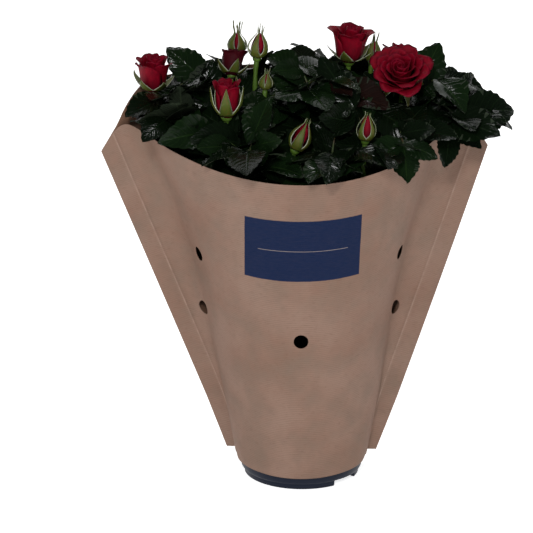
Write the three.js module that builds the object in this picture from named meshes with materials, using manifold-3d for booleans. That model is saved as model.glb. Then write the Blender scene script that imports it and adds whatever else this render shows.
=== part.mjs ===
// Patio rose bush in a 13 cm nursery pot, standing in a kraft paper carry sleeve.
// Millimetres, +Z up, +Y to the back. The origin is the centre of the pot's flat underside.

import * as THREE from "three";
import { mergeVertices } from "three/addons/utils/BufferGeometryUtils.js";
import Module from "manifold-3d";

const wasm = await Module();
wasm.setup();

// ---------------------------------------------------------------- driving dimensions

const POT = {
  height: 114,
  rimRadius: 64, // outside, at the lip
  rimFootRadius: 62, // outside, where the rim band steps in
  rimBand: 14,
  bodyTopRadius: 59.8,
  bodyFootRadius: 47.2,
  bodyFootHeight: 8,
  heelRadius: 46.3, // lower edge of the rounded heel
  footRadius: 45, // outside of the foot ring
  footWidth: 4.4,
  footHeight: 4.6,
  padRadius: 9, // centre pad, level with the foot ring
  wall: 1.5,
  floor: 2,
  drainRadius: 4,
  drainCircle: 24,
  drainCount: 6,
  footGapAngles: [51, 157, -96], // degrees from the front, towards +X
  footGapWidth: 25,
  sides: 24,
};

const SOIL = { top: 100, clearance: 0.4 };

const SLEEVE = {
  paper: 0.9,
  seamGap: 0.3, // between the two panels where they are glued
  bottom: 10.8, // height of the lower edge at the middle of a panel
  flangeBottom: 17.6,
  tipHeight: 258,
  tipHalfWidth: 146,
  bottomHalfWidth: 58.4,
  bottomDepth: 49.2, // front of the panel from the axis, at the lower edge
  depthSlope: 0.1596, // how much the depth grows for each millimetre of height
  creaseFoot: 48, // crease half width = creaseFoot + creaseSlope z + creaseCurve z^2
  creaseSlope: 0.22,
  creaseCurve: 0.00033,
  shoulderSlope: 1.6, // rise of the cut corner for each millimetre inwards
  frontDip: 251.6, // height of the front edge at the middle
  frontRise: 0.00185, // front edge height = frontDip + frontRise x^2
  backTop: 303.5,
  cornerRound: 5, // rounding where two cuts meet
  leanFrom: 60,
  lean: -0.027, // sideways shift for each millimetre above leanFrom
  yawBottom: -2.5, // degrees, turn of the seam line at the lower edge
  yawTop: 5, // degrees, turn of the seam line at the tips
  columns: 18,
  rows: 4,
  ventRadius: 5.5,
  vents: [
    [0, 127],
    [-75, 184],
    [75, 184],
    [-71, 135],
    [71, 135],
  ], // distance from the middle line and height of each punched hole
  backVents: 3, // the back panel has only the first of them: the outer two would line up with those in front
};

const CANE = { footRadius: 2.9, tipRadius: 2.2, sides: 6, steps: 5 };
const STEM = { footRadius: 2.1, tipRadius: 1.7, sides: 4, steps: 3 };
const FLOWER_STEM = { radius: 1.75, length: 26 };
const CLEAR = 0.3; // gap between two solids that touch
const SLIVER = 0.15; // detail smaller than this is merged away where leaves are joined

const LEAF = {
  length: 37, // terminal leaflet
  widthShare: 0.64, // leaflet width over its length
  thickness: 0.02, // half thickness over length, at the midrib
  fold: 0.16, // how far the blade's edges rise above the midrib, over half width
  curl: 0.16, // how far the tip drops, over length
  stalkLow: 40, // stalk of the lowest leaf
  stalkHigh: 26, // stalk of the highest leaf
  twoPairStalk: 24, // a shorter stalk bears one pair
  stalkWidth: 0.8, // half width of the stalk at its foot
  stalkDepth: 1.3,
  pairPlaces: [0.74, 0.32], // places of the leaflet pairs along the stalk
  pairSizes: [0.88, 0.7],
  pairAngle: 64, // degrees from the stalk
  droop: 0.34,
  offLimb: 3, // least distance of a leaflet from its own mass's limbs
  apart: 3.4, // least distance between the test points of two leaves
  turns: 12, // directions round the shoot tried
  lifts: [0, 0.6, 1.3], // steeper rises tried
  shrinks: [
    [1, 1],
    [0.62, 1],
    [0.34, 0.95],
    [0.45, 0.75],
  ], // shares of the stalk's and the leaflets' length tried
};
const GOLDEN_ANGLE = Math.PI * (3 - Math.sqrt(5));

const CROWN = {
  top: 327, // height of the leaves over the axis
  fallX: 0.0012, // crown top = top - fallX x^2 - fallY y^2
  fallY: 0.0022,
  lowest: 128, // no leaf hangs below this inside the sleeve
  fork: 0.34, // share of a cane's curve below its leaves
  cellMargin: 1,
  paperMargin: 4.2,
  limbMargin: 1.6,
};

// Flower heads: kind, foot of the head, lean of its axis in X and Y, and size of the head in mm
// (across for an open head, height for a bud).
const FLOWERS = {
  rose_cup_left: { kind: "cup", at: [-112, 0, 301], lean: [0.05, -0.1], size: 28 },
  rose_cup_front_left: { kind: "cup", at: [-56, -36, 289], lean: [0.02, -0.12], size: 23 },
  bud_long_sepals: { kind: "bud", at: [-50, 34, 322], lean: [0, 0], size: 23 },
  rose_dark_back_left: { kind: "cup", at: [-54, 12, 310], lean: [0.1, 0.5], size: 21 },
  bud_centre: { kind: "bud", at: [-34.5, -2, 326], lean: [0.12, -0.05], size: 23 },
  bud_small_centre: { kind: "bud", at: [-28, -18, 306], lean: [0.1, -0.1], size: 13 },
  bud_front: { kind: "bud", at: [-6, -52, 268], lean: [0.3, -0.1], size: 26 },
  bud_front_right: { kind: "bud", at: [45.5, -52, 275], lean: [0.08, -0.08], size: 24 },
  rose_open_right: { kind: "open", at: [73, -3, 308], lean: [-0.08, -0.85], size: 49 },
  rose_cup_back_right: { kind: "cup", at: [34.5, 18, 320], lean: [0.1, -0.1], size: 30 },
  bud_small_right: { kind: "bud", at: [52, 34, 316], lean: [0.12, 0], size: 18 },
  rose_cup_back: { kind: "cup", at: [70, 44, 300], lean: [0.25, 0.4], size: 28 },
  bud_back: { kind: "bud", at: [6, 62, 290], lean: [0.05, 0.35], size: 23 },
  bud_back_left: { kind: "bud", at: [-86, 36, 290], lean: [-0.2, 0.3], size: 22 },
};

// Each mass grows from one cane. Its first shoot goes on from the cane, and the others branch from it.
// A shoot ends under a flower or in leaves at its own end point. Reaches are the tips of its longest leaves.
const MASSES = {
  left: {
    foot: [-34, 0],
    seed: 11,
    shoots: [
      { flower: "rose_cup_left", leaves: 8 },
      { end: [-92, -26, 282], leaves: 7 },
      { end: [-82, 8, 306], leaves: 8 },
      { flower: "bud_back_left", leaves: 7 },
    ],
    reaches: [
      [-122, -6, 290],
      [-104, 14, 330],
    ],
  },
  front_left: {
    foot: [-17, -31],
    seed: 23,
    shoots: [
      { flower: "rose_cup_front_left", leaves: 8 },
      { flower: "bud_front", leaves: 8 },
      { end: [-38, -62, 266], leaves: 7 },
    ],
    reaches: [[-78, -58, 292]],
  },
  front_right: {
    foot: [20, -30],
    seed: 37,
    shoots: [
      { flower: "bud_front_right", leaves: 8 },
      { end: [72, -44, 276], leaves: 7 },
      { end: [20, -60, 268], leaves: 7 },
    ],
    reaches: [[76, -82, 258]],
  },
  right: {
    foot: [36, 2],
    seed: 41,
    shoots: [
      { flower: "rose_open_right", leaves: 8 },
      { end: [112, -12, 284], leaves: 7 },
      { end: [94, 14, 308], leaves: 8 },
      { flower: "rose_cup_back", leaves: 7 },
    ],
    reaches: [
      [162, -6, 293],
      [104, -50, 272],
      [104, 6, 334],
    ],
  },
  centre: {
    foot: [2, 2],
    seed: 59,
    shoots: [
      { flower: "bud_centre", leaves: 7 },
      { flower: "bud_small_centre", leaves: 7 },
      { end: [6, -12, 312], leaves: 7 },
      { flower: "rose_cup_back_right", leaves: 7 },
      { flower: "bud_small_right", leaves: 7 },
    ],
    reaches: [
      [20, 10, 332],
      [-16, 14, 334],
    ],
  },
  back: {
    foot: [-4, 34],
    seed: 67,
    shoots: [
      { flower: "bud_long_sepals", leaves: 7 },
      { flower: "rose_dark_back_left", leaves: 6 },
      { flower: "bud_back", leaves: 7 },
      { end: [-46, 66, 294], leaves: 7 },
      { end: [42, 68, 296], leaves: 7 },
    ],
    reaches: [[-84, 58, 322]],
  },
};

// ---------------------------------------------------------------- materials

const paint = (color, roughness) => new THREE.MeshStandardMaterial({ color, roughness, metalness: 0 });
const MATERIALS = {
  pot: paint(0x272d38, 0.55),
  soil: paint(0x2b2019, 0.95),
  kraft: paint(0x9c7c68, 0.85),
  cane: paint(0x4c5a2a, 0.6),
  leaf: paint(0x1b2b18, 0.35),
  petal: paint(0x8a0418, 0.6),
  bud: paint(0x66783a, 0.6),
};

// ---------------------------------------------------------------- small helpers

const V = (x, y, z) => new THREE.Vector3(x, y, z);
const UP = V(0, 0, 1);
const lerp = THREE.MathUtils.lerp;
const radians = THREE.MathUtils.degToRad;
const mixed = (a, b, share) => a.clone().lerp(b, share);
const along = (origin, ...steps) =>
  steps.reduce((point, [direction, distance]) => point.addScaledVector(direction, distance), origin.clone());

// A repeatable stream of numbers from 0 to 1.
function randomStream(seed) {
  let state = Math.imul(seed, 2654435761) >>> 0;
  return () => {
    state = (Math.imul(state, 1664525) + 1013904223) >>> 0;
    return state / 4294967296;
  };
}

// Bends a geometry: every vertex goes to the point that place(x, y, z) gives.
function bent(geometry, place) {
  const position = geometry.getAttribute("position");
  for (let i = 0; i < position.count; i++) {
    const p = place(position.getX(i), position.getY(i), position.getZ(i));
    position.setXYZ(i, p.x, p.y, p.z);
  }
  return geometry;
}

// A closed geometry as a solid, facing out. Corners are welded and collapsed triangles dropped.
function solid(geometry) {
  geometry.deleteAttribute("normal");
  geometry.deleteAttribute("uv");
  const welded = mergeVertices(geometry, 1e-3);
  const corners = [];
  for (let i = 0; i < welded.index.count; i += 3) {
    const [a, b, c] = [0, 1, 2].map((k) => welded.index.getX(i + k));
    if (a !== b && b !== c && a !== c) corners.push(a, b, c);
  }
  const make = (triVerts) =>
    new wasm.Manifold(
      new wasm.Mesh({
        numProp: 3,
        vertProperties: new Float32Array(welded.attributes.position.array),
        triVerts: new Uint32Array(triVerts),
      }),
    );
  const made = make(corners);
  return made.volume() > 0 ? made : make(corners.reverse());
}

const joined = (solids) => wasm.Manifold.union(solids);

// The largest body of a solid without its slivers, with what it seals inside filled and loose scraps dropped.
const wholeBody = (shape) =>
  shape
    .simplify(SLIVER)
    .decompose()
    .reduce((best, body) => (body.volume() > best.volume() ? body : best));

// A named mesh of one solid.
function part(name, shape, material) {
  const { vertProperties, triVerts } = shape.getMesh();
  const geometry = new THREE.BufferGeometry();
  geometry.setAttribute("position", new THREE.BufferAttribute(vertProperties, 3));
  geometry.setIndex(new THREE.BufferAttribute(triVerts, 1));
  geometry.computeVertexNormals();
  const mesh = new THREE.Mesh(geometry, material);
  mesh.name = name;
  return mesh;
}

// A solid of revolution about Z from [radius, height] pairs.
function turned(profile, sides) {
  const points = profile.map(([r, z]) => new THREE.Vector2(r, z));
  return new THREE.LatheGeometry(points, sides).rotateX(Math.PI / 2);
}

// A round limb that tapers along a curve, with flat ends; a cut foot is level.
function limb(curve, from, to, footRadius, tipRadius, sides, steps, cutFoot = false) {
  const chord = curve.getPoint(to).sub(curve.getPoint(from)).normalize();
  const reference = Math.abs(chord.z) > 0.8 ? V(1, 0, 0) : UP;
  return bent(new THREE.CylinderGeometry(1, 1, 1, sides, steps), (x, y, z) => {
    const share = y + 0.5;
    const t = lerp(from, to, share);
    const tangent = cutFoot && share < 0.01 ? UP : curve.getTangent(t);
    const side = tangent.clone().cross(reference).normalize();
    const other = side.clone().cross(tangent);
    const radius = lerp(footRadius, tipRadius, share);
    return along(curve.getPoint(t), [side, x * radius], [other, z * radius]);
  });
}

// Point t of a curve's faceted limb, which runs from one share of the curve to another in straight steps.
function facetPoint(curve, from, to, steps, t) {
  const place = THREE.MathUtils.clamp((t - from) / (to - from), 0, 1) * steps;
  const step = Math.min(steps - 1, Math.floor(place));
  const joint = (k) => curve.getPoint(lerp(from, to, k / steps));
  return mixed(joint(step), joint(step + 1), place - step);
}

// ---------------------------------------------------------------- paper sleeve

const sleeveCrease = (z) => SLEEVE.creaseFoot + SLEEVE.creaseSlope * z + SLEEVE.creaseCurve * z * z;
const sleeveDepth = (z) => SLEEVE.bottomDepth + SLEEVE.depthSlope * (z - SLEEVE.bottom);
const sleeveEdge = (z) =>
  SLEEVE.bottomHalfWidth +
  ((SLEEVE.tipHalfWidth - SLEEVE.bottomHalfWidth) * (z - SLEEVE.flangeBottom)) /
    (SLEEVE.tipHeight - SLEEVE.flangeBottom);

// The section at height z is two arcs: a wide one round the front, and a small one that turns back into the flange.
function sleeveArcs(z) {
  const crease = sleeveCrease(z);
  const depth = sleeveDepth(z);
  const turn = 2 * Math.atan(depth / crease);
  const sum = crease / Math.sin(turn);
  const wide = Math.min(depth + 0.3 + 0.001 * Math.max(0, z - POT.height) ** 2, 0.97 * sum);
  return { crease, depth, turn, wide, small: sum - wide };
}

// Depth of the paper in front of the seam line, at distance x from the middle.
function paperDepth(x, z) {
  const { crease, depth, turn, wide, small } = sleeveArcs(z);
  const across = Math.abs(x);
  if (across >= crease) return 0;
  if (across <= wide * Math.sin(turn)) return depth - wide + Math.sqrt(Math.max(0, wide ** 2 - across ** 2));
  return small - Math.sqrt(Math.max(0, small ** 2 - (crease - across) ** 2));
}

// Soft minimum of two heights, which rounds the corner between two cuts.
function roundedLower(a, b, size) {
  const h = Math.max(0, 1 - Math.abs(a - b) / (4 * size));
  return Math.min(a, b) - h * h * size;
}

// Height of a panel's upper edge at distance x from the middle; side is -1 for the front and 1 for the back.
function paperTop(x, side) {
  const corner = SLEEVE.tipHeight + SLEEVE.shoulderSlope * (SLEEVE.tipHalfWidth - Math.abs(x));
  const middle = side < 0 ? SLEEVE.frontDip + SLEEVE.frontRise * x * x : SLEEVE.backTop;
  return roundedLower(corner, middle, SLEEVE.cornerRound);
}

// Turns and leans a point of the straight sleeve to where it is on the plant, and back again.
const sleeveYaw = (z) =>
  radians(
    SLEEVE.yawBottom + ((SLEEVE.yawTop - SLEEVE.yawBottom) * (z - SLEEVE.bottom)) / (SLEEVE.tipHeight - SLEEVE.bottom),
  );
const sleeveShift = (z) => SLEEVE.lean * Math.max(0, z - SLEEVE.leanFrom);
function placedInSleeve(x, y, z) {
  const yaw = sleeveYaw(z);
  return V(x * Math.cos(yaw) - y * Math.sin(yaw) + sleeveShift(z), x * Math.sin(yaw) + y * Math.cos(yaw), z);
}
function straightened(p) {
  const yaw = -sleeveYaw(p.z);
  const x = p.x - sleeveShift(p.z);
  return V(x * Math.cos(yaw) - p.y * Math.sin(yaw), x * Math.sin(yaw) + p.y * Math.cos(yaw), p.z);
}

const FLANGE_SHARE = 0.16; // share of a panel's half width that lies in the flange

// Point of a panel: u runs from -1 at one outer edge to 1 at the other, lift is the distance off the paper's inner line.
function panelPoint(side, u, z, lift) {
  const { crease, depth, turn, wide, small } = sleeveArcs(z);
  const body = Math.min(1, Math.abs(u) / (1 - FLANGE_SHARE));
  const run = body * turn * (wide + small);
  const inWide = run <= turn * wide;
  const angle = inWide ? run / wide : Math.max(0, turn - (run - turn * wide) / small);
  let x = inWide ? wide * Math.sin(angle) : crease - small * Math.sin(angle);
  let y = inWide ? depth - wide * (1 - Math.cos(angle)) : small * (1 - Math.cos(angle));
  x += lift * Math.sin(angle);
  y += lift * Math.cos(angle);
  if (body >= 1) {
    const out = (Math.abs(u) - (1 - FLANGE_SHARE)) / FLANGE_SHARE;
    x = lerp(crease, sleeveEdge(z), out);
    y = lift;
  }
  return placedInSleeve(Math.sign(u) * x, side * y, z);
}

// Heights of a panel's lower and upper edges along column u.
function panelBottom(u) {
  const outer = Math.min(1, Math.abs(u) / (1 - FLANGE_SHARE)) ** 2;
  return lerp(SLEEVE.bottom, SLEEVE.flangeBottom, outer);
}
function panelTop(side, u) {
  let z = SLEEVE.tipHeight;
  for (let i = 0; i < 40; i++) {
    const p = straightened(panelPoint(side, u, z, 0));
    z = lerp(z, paperTop(p.x, side), 0.6);
  }
  return z;
}

// One panel of the sleeve with its flanges and punched holes.
function sleevePanel(side) {
  const sheet = bent(
    new THREE.BoxGeometry(2, 1, 1, SLEEVE.columns, 1, SLEEVE.rows),
    (u, layer, row) => {
      const z = lerp(panelBottom(u), panelTop(side, u), row + 0.5);
      const lift = SLEEVE.seamGap / 2 + (layer > 0 ? SLEEVE.paper : 0);
      return panelPoint(side, u, z, lift);
    },
  );
  const punches = SLEEVE.vents.slice(0, side < 0 ? undefined : SLEEVE.backVents).map(([x, z]) => {
    const reach = 3;
    const slope = (paperDepth(x + 1, z) - paperDepth(x - 1, z)) / 2;
    const outwards = V(-slope, 1, 0).normalize();
    const depth = paperDepth(x, z);
    const at = placedInSleeve(x, side * depth, z);
    const ahead = placedInSleeve(x + outwards.x, side * (depth + outwards.y), z).sub(at).normalize();
    const cutter = new THREE.CylinderGeometry(SLEEVE.ventRadius, SLEEVE.ventRadius, 2 * reach, 8);
    cutter.applyQuaternion(new THREE.Quaternion().setFromUnitVectors(V(0, 1, 0), ahead));
    return solid(cutter.translate(at.x, at.y, at.z));
  });
  return solid(sheet).subtract(joined(punches));
}

// ---------------------------------------------------------------- pot and soil

function pot() {
  const { wall, floor, footHeight, footRadius, footWidth, height } = POT;
  const floorTop = footHeight + floor;
  const bandFoot = height - POT.rimBand;
  const body = turned(
    [
      [0, 0],
      [POT.padRadius, 0],
      [POT.padRadius + 1, footHeight],
      [footRadius - footWidth - 0.6, footHeight],
      [footRadius - footWidth, 0],
      [footRadius - 0.5, 0],
      [footRadius, footHeight],
      [POT.heelRadius, footHeight + 0.6],
      [POT.bodyFootRadius, POT.bodyFootHeight],
      [POT.bodyTopRadius, bandFoot - 0.6],
      [POT.rimFootRadius, bandFoot],
      [POT.rimRadius, height],
      [POT.rimRadius - wall, height],
      [POT.rimFootRadius - wall, bandFoot + 1],
      [POT.bodyTopRadius - wall, bandFoot - 1],
      [POT.bodyFootRadius - wall, floorTop + 2],
      [POT.heelRadius - wall - 1, floorTop],
      [0, floorTop],
    ],
    POT.sides,
  );
  const gaps = POT.footGapAngles.map((degrees) => {
    const angle = radians(degrees);
    const radius = footRadius - footWidth / 2;
    const box = new THREE.BoxGeometry(POT.footGapWidth, 3 * footWidth, 2 * footHeight);
    box.rotateZ(angle);
    return solid(box.translate(radius * Math.sin(angle), -radius * Math.cos(angle), 0));
  });
  const drains = Array.from({ length: POT.drainCount }, (_, k) => {
    const angle = (2 * Math.PI * (k + 0.5)) / POT.drainCount;
    const hole = new THREE.CylinderGeometry(POT.drainRadius, POT.drainRadius, 3 * floorTop, 6).rotateX(Math.PI / 2);
    return solid(hole.translate(POT.drainCircle * Math.sin(angle), POT.drainCircle * Math.cos(angle), floorTop));
  });
  return solid(body).subtract(joined([...gaps, ...drains]));
}

// Peat fill that follows the pot's inside, a little clear of it.
function pottingSoil() {
  const floorTop = POT.footHeight + POT.floor + CLEAR;
  const radiusAt = (z) =>
    THREE.MathUtils.mapLinear(z, POT.bodyFootHeight, POT.height - POT.rimBand, POT.bodyFootRadius, POT.bodyTopRadius) -
    POT.wall -
    SOIL.clearance;
  const low = floorTop + 4;
  return solid(
    turned(
      [
        [0, floorTop],
        [radiusAt(low) - 2.5, floorTop],
        [radiusAt(low), low],
        [radiusAt(SOIL.top - 4), SOIL.top - 4],
        [radiusAt(SOIL.top - 4) - 1.5, SOIL.top],
        [0, SOIL.top],
      ],
      POT.sides,
    ),
  );
}

// ---------------------------------------------------------------- skeleton of the bush

const flowerAxis = (flower) => V(flower.lean[0], flower.lean[1], 1).normalize();
const flowerFoot = (flower) => V(...flower.at);

// Where a flower's own stem starts: below the head, bent half way back to upright.
function flowerStemCurve(flower) {
  const foot = flowerFoot(flower);
  const axis = flowerAxis(flower);
  const start = along(foot, [mixed(axis, UP, 0.6).normalize(), -FLOWER_STEM.length]);
  return new THREE.QuadraticBezierCurve3(start, along(foot, [axis, -0.45 * FLOWER_STEM.length]), foot);
}

// The curves of one mass: the first runs from the soil, the others leave it part of the way up.
function shootCurves(mass) {
  const curves = [];
  mass.shoots.forEach((shoot, index) => {
    const end = shoot.flower ? flowerStemCurve(FLOWERS[shoot.flower]).getPoint(0) : V(...shoot.end);
    if (index === 0) {
      const foot = V(mass.foot[0], mass.foot[1], SOIL.top + CLEAR);
      const bend = V(lerp(foot.x, end.x, 0.42), lerp(foot.y, end.y, 0.42), lerp(foot.z, end.z, 0.62));
      curves.push(new THREE.QuadraticBezierCurve3(foot, bend, end));
      return;
    }
    const leaves = 0.37 + 0.105 * index;
    const start = facetPoint(curves[0], CROWN.fork, 1, STEM.steps, leaves);
    const reach = start.distanceTo(end);
    const bend = along(mixed(start, end, 0.35), [curves[0].getTangent(leaves), 0.3 * reach]);
    curves.push(new THREE.QuadraticBezierCurve3(start, bend, end));
  });
  return curves;
}

const SKELETON = Object.fromEntries(Object.entries(MASSES).map(([name, mass]) => [name, shootCurves(mass)]));

// Points on each mass's own limbs: the space nearest to them belongs to that mass.
const CELL_STEPS = 12;
const CELL_POINTS = Object.fromEntries(
  Object.entries(SKELETON).map(([name, curves]) => [
    name,
    curves.flatMap((curve) => Array.from({ length: CELL_STEPS + 1 }, (_, k) => curve.getPoint(k / CELL_STEPS))),
  ]),
);

// Balls that no leaf may enter: canes, flower stems and flower heads.
const HEAD_SPACE = {
  open: (size) => [
    [0.12 * size, 0.16 * size],
    [0.42 * size, 0.56 * size],
  ],
  cup: (size) => [
    [0.1 * size, 0.24 * size],
    [0.62 * size, 0.62 * size],
  ],
  bud: (size) => [
    [0.08 * size, 0.26 * size],
    [0.42 * size, 0.42 * size],
    [0.85 * size, 0.3 * size],
    [1.2 * size, 0.2 * size],
  ],
};
const OBSTACLES = [
  ...Object.values(SKELETON).flatMap(([cane]) =>
    Array.from({ length: 13 }, (_, k) => [cane.getPoint((CROWN.fork * k) / 12), CANE.footRadius + CROWN.limbMargin]),
  ),
  ...Object.values(FLOWERS).flatMap((flower) => {
    const stem = flowerStemCurve(flower);
    const axis = flowerAxis(flower);
    return [
      ...Array.from({ length: 8 }, (_, k) => [stem.getPoint((k + 0.5) / 8), FLOWER_STEM.radius + CROWN.limbMargin]),
      ...HEAD_SPACE[flower.kind](flower.size).map(([up, radius]) => [along(flowerFoot(flower), [axis, up]), radius]),
    ];
  }),
];

// ---------------------------------------------------------------- leaves

const nearest = (point, points) => points.reduce((best, p) => Math.min(best, p.distanceToSquared(point)), Infinity);

// Whether a point is in the mass's own space, inside the crown, and clear of paper, limbs and flowers.
function isFree(point, name, reaching) {
  const { x, y, z } = point;
  if (z < CROWN.lowest) return false;
  if (!reaching && z > CROWN.top - CROWN.fallX * x * x - CROWN.fallY * y * y) return false;
  const s = straightened(point);
  const side = s.y < 0 ? -1 : 1;
  const below = z < paperTop(s.x, side) + CROWN.paperMargin;
  if (below && Math.abs(Math.abs(s.y) - paperDepth(s.x, z)) < CROWN.paperMargin) return false;
  const outside = Math.abs(s.y) > paperDepth(s.x, z) || Math.abs(s.x) > sleeveCrease(z) - 6;
  if (below && outside && !(reaching && s.y < 0)) return false;
  if (OBSTACLES.some(([centre, radius]) => centre.distanceTo(point) < radius)) return false;
  const own = Math.sqrt(nearest(point, CELL_POINTS[name]));
  return Object.keys(CELL_POINTS).every(
    (other) => other === name || own + CROWN.cellMargin < Math.sqrt(nearest(point, CELL_POINTS[other])),
  );
}

// Half width of a leaflet at share v of its length, over its full width.
const bladeWidth = (v) => 0.5 * Math.sin(Math.PI * Math.min(1, v) ** 0.82) ** 0.85;

// Point of a leaflet's blade: v along the midrib, w from -1 to 1 across it.
function bladePoint(leaflet, v, w) {
  const { at, heading, normal, length } = leaflet;
  const side = heading.clone().cross(normal).normalize();
  const half = bladeWidth(v) * LEAF.widthShare * length;
  const rise = LEAF.fold * half * Math.abs(w) - LEAF.curl * length * v * v;
  return along(at, [heading, length * v], [side, half * w], [normal, rise]);
}

// A leaflet's spine and edges, where its place is tested.
function bladeProbes(leaflet) {
  const probes = [];
  for (const v of [0.15, 0.4, 0.65, 0.85]) for (const w of [-1, 0, 1]) probes.push(bladePoint(leaflet, v, w));
  probes.push(bladePoint(leaflet, 1, 0), bladePoint(leaflet, 0.03, 0));
  return probes;
}

// A compound leaf: a stalk that arches over, a leaflet at its end and pairs of leaflets along it.
function compoundLeaf(at, heading, stalk, size, pairs, roll) {
  const bow = along(at, [heading, 0.55 * stalk]);
  const end = along(at, [heading, stalk], [UP, -LEAF.droop * stalk]);
  const curve = new THREE.QuadraticBezierCurve3(at, bow, end);
  const leaflet = (t, turn, scale) => {
    const { point, tangent, side, normal } = stalkFrame(curve, t);
    const direction = along(V(0, 0, 0), [tangent, Math.cos(turn)], [side, Math.sin(turn)], [UP, -0.12]).normalize();
    const tilted = along(normal, [side, roll + 0.22 * Math.sin(turn)]);
    const square = tilted.addScaledVector(direction, -tilted.dot(direction)).normalize();
    return { t, right: Math.sin(turn), at: point, heading: direction, normal: square, length: size * scale };
  };
  const blades = [leaflet(1, 0, 1)];
  for (let k = 0; k < pairs; k++)
    for (const sign of [1, -1])
      blades.push(leaflet(LEAF.pairPlaces[k], sign * radians(LEAF.pairAngle), LEAF.pairSizes[k]));
  return { curve, blades };
}

// Place and directions of a stalk at share t: forwards, to its right, and up from its upper face.
function stalkFrame(curve, t) {
  const tangent = curve.getTangent(t);
  const side = tangent.clone().cross(UP).normalize();
  return { point: curve.getPoint(t), tangent, side, normal: side.clone().cross(tangent).normalize() };
}

// A compound leaf as one closed body: a four-sided stalk that opens into a thin blade at each leaflet.
const OUTLINE = [
  [0.26, 1],
  [0.7, 1],
  [1, 0],
  [0.7, -1],
  [0.26, -1],
]; // place along the midrib and side, round a blade from one root corner to the other
function leafSolid({ curve, blades }) {
  const points = [];
  const faces = [];
  const add = (point) => points.push(point) - 1;
  const ring = (t, wide) => {
    const { point, side, normal } = stalkFrame(curve, t);
    const corner = (a, b) => add(along(point, [side, a * wide], [normal, (b - 0.5) * LEAF.stalkDepth]));
    return { rightTop: corner(1, 1), leftTop: corner(-1, 1), rightLow: corner(1, 0), leftLow: corner(-1, 0) };
  };
  const quad = (a, b, c, d) => faces.push([a, b, c], [a, c, d]);
  // The blade hangs on four corners of the stalk: the upper and lower ones where it starts and where it ends.
  const blade = (leaflet, startTop, startLow, endTop, endLow) => {
    const rim = OUTLINE.map(([v, w]) => add(bladePoint(leaflet, v, w)));
    const [top, low] = [1, -1].map((over) =>
      add(along(bladePoint(leaflet, 0.45, 0), [leaflet.normal, over * LEAF.thickness * leaflet.length])),
    );
    const upper = [startTop, ...rim, endTop, startTop];
    const lower = [startLow, ...rim, endLow, startLow];
    for (let k = 1; k < upper.length; k++)
      faces.push([upper[k - 1], upper[k], top], [lower[k], lower[k - 1], low]);
    faces.push([startTop, startLow, rim[0]], [endTop, rim[rim.length - 1], endLow]);
  };
  const halfRoot = 1.1 / curve.getLength();
  const onStalk = (sign) => blades.filter((leaflet) => leaflet.t < 1 && Math.sign(leaflet.right) === sign);
  const [rights, lefts] = [1, -1].map(onStalk);
  const places = [...new Set(blades.filter((leaflet) => leaflet.t < 1).map((leaflet) => leaflet.t))].sort();
  let last = ring(0, LEAF.stalkWidth);
  quad(last.leftTop, last.leftLow, last.rightLow, last.rightTop);
  const reach = (t, right, left) => {
    const next = ring(t, LEAF.stalkWidth * (1 - 0.3 * t));
    quad(last.leftTop, last.rightTop, next.rightTop, next.leftTop);
    quad(last.leftLow, next.leftLow, next.rightLow, last.rightLow);
    if (right) blade(right, last.rightTop, last.rightLow, next.rightTop, next.rightLow);
    else quad(last.rightLow, next.rightLow, next.rightTop, last.rightTop);
    if (left) blade(left, next.leftTop, next.leftLow, last.leftTop, last.leftLow);
    else quad(next.leftLow, last.leftLow, last.leftTop, next.leftTop);
    last = next;
  };
  for (const t of places) {
    reach(t - halfRoot);
    const at = (list) => list.find((leaflet) => leaflet.t === t);
    reach(t + halfRoot, at(rights), at(lefts));
  }
  reach(1);
  blade(blades[0], last.rightTop, last.rightLow, last.leftTop, last.leftLow);
  const geometry = new THREE.BufferGeometry().setFromPoints(points);
  geometry.setIndex(faces.flat());
  return solid(geometry);
}

const stalkProbes = (leaf) => Array.from({ length: 13 }, (_, k) => leaf.curve.getPoint(0.16 + 0.07 * k));

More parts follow.
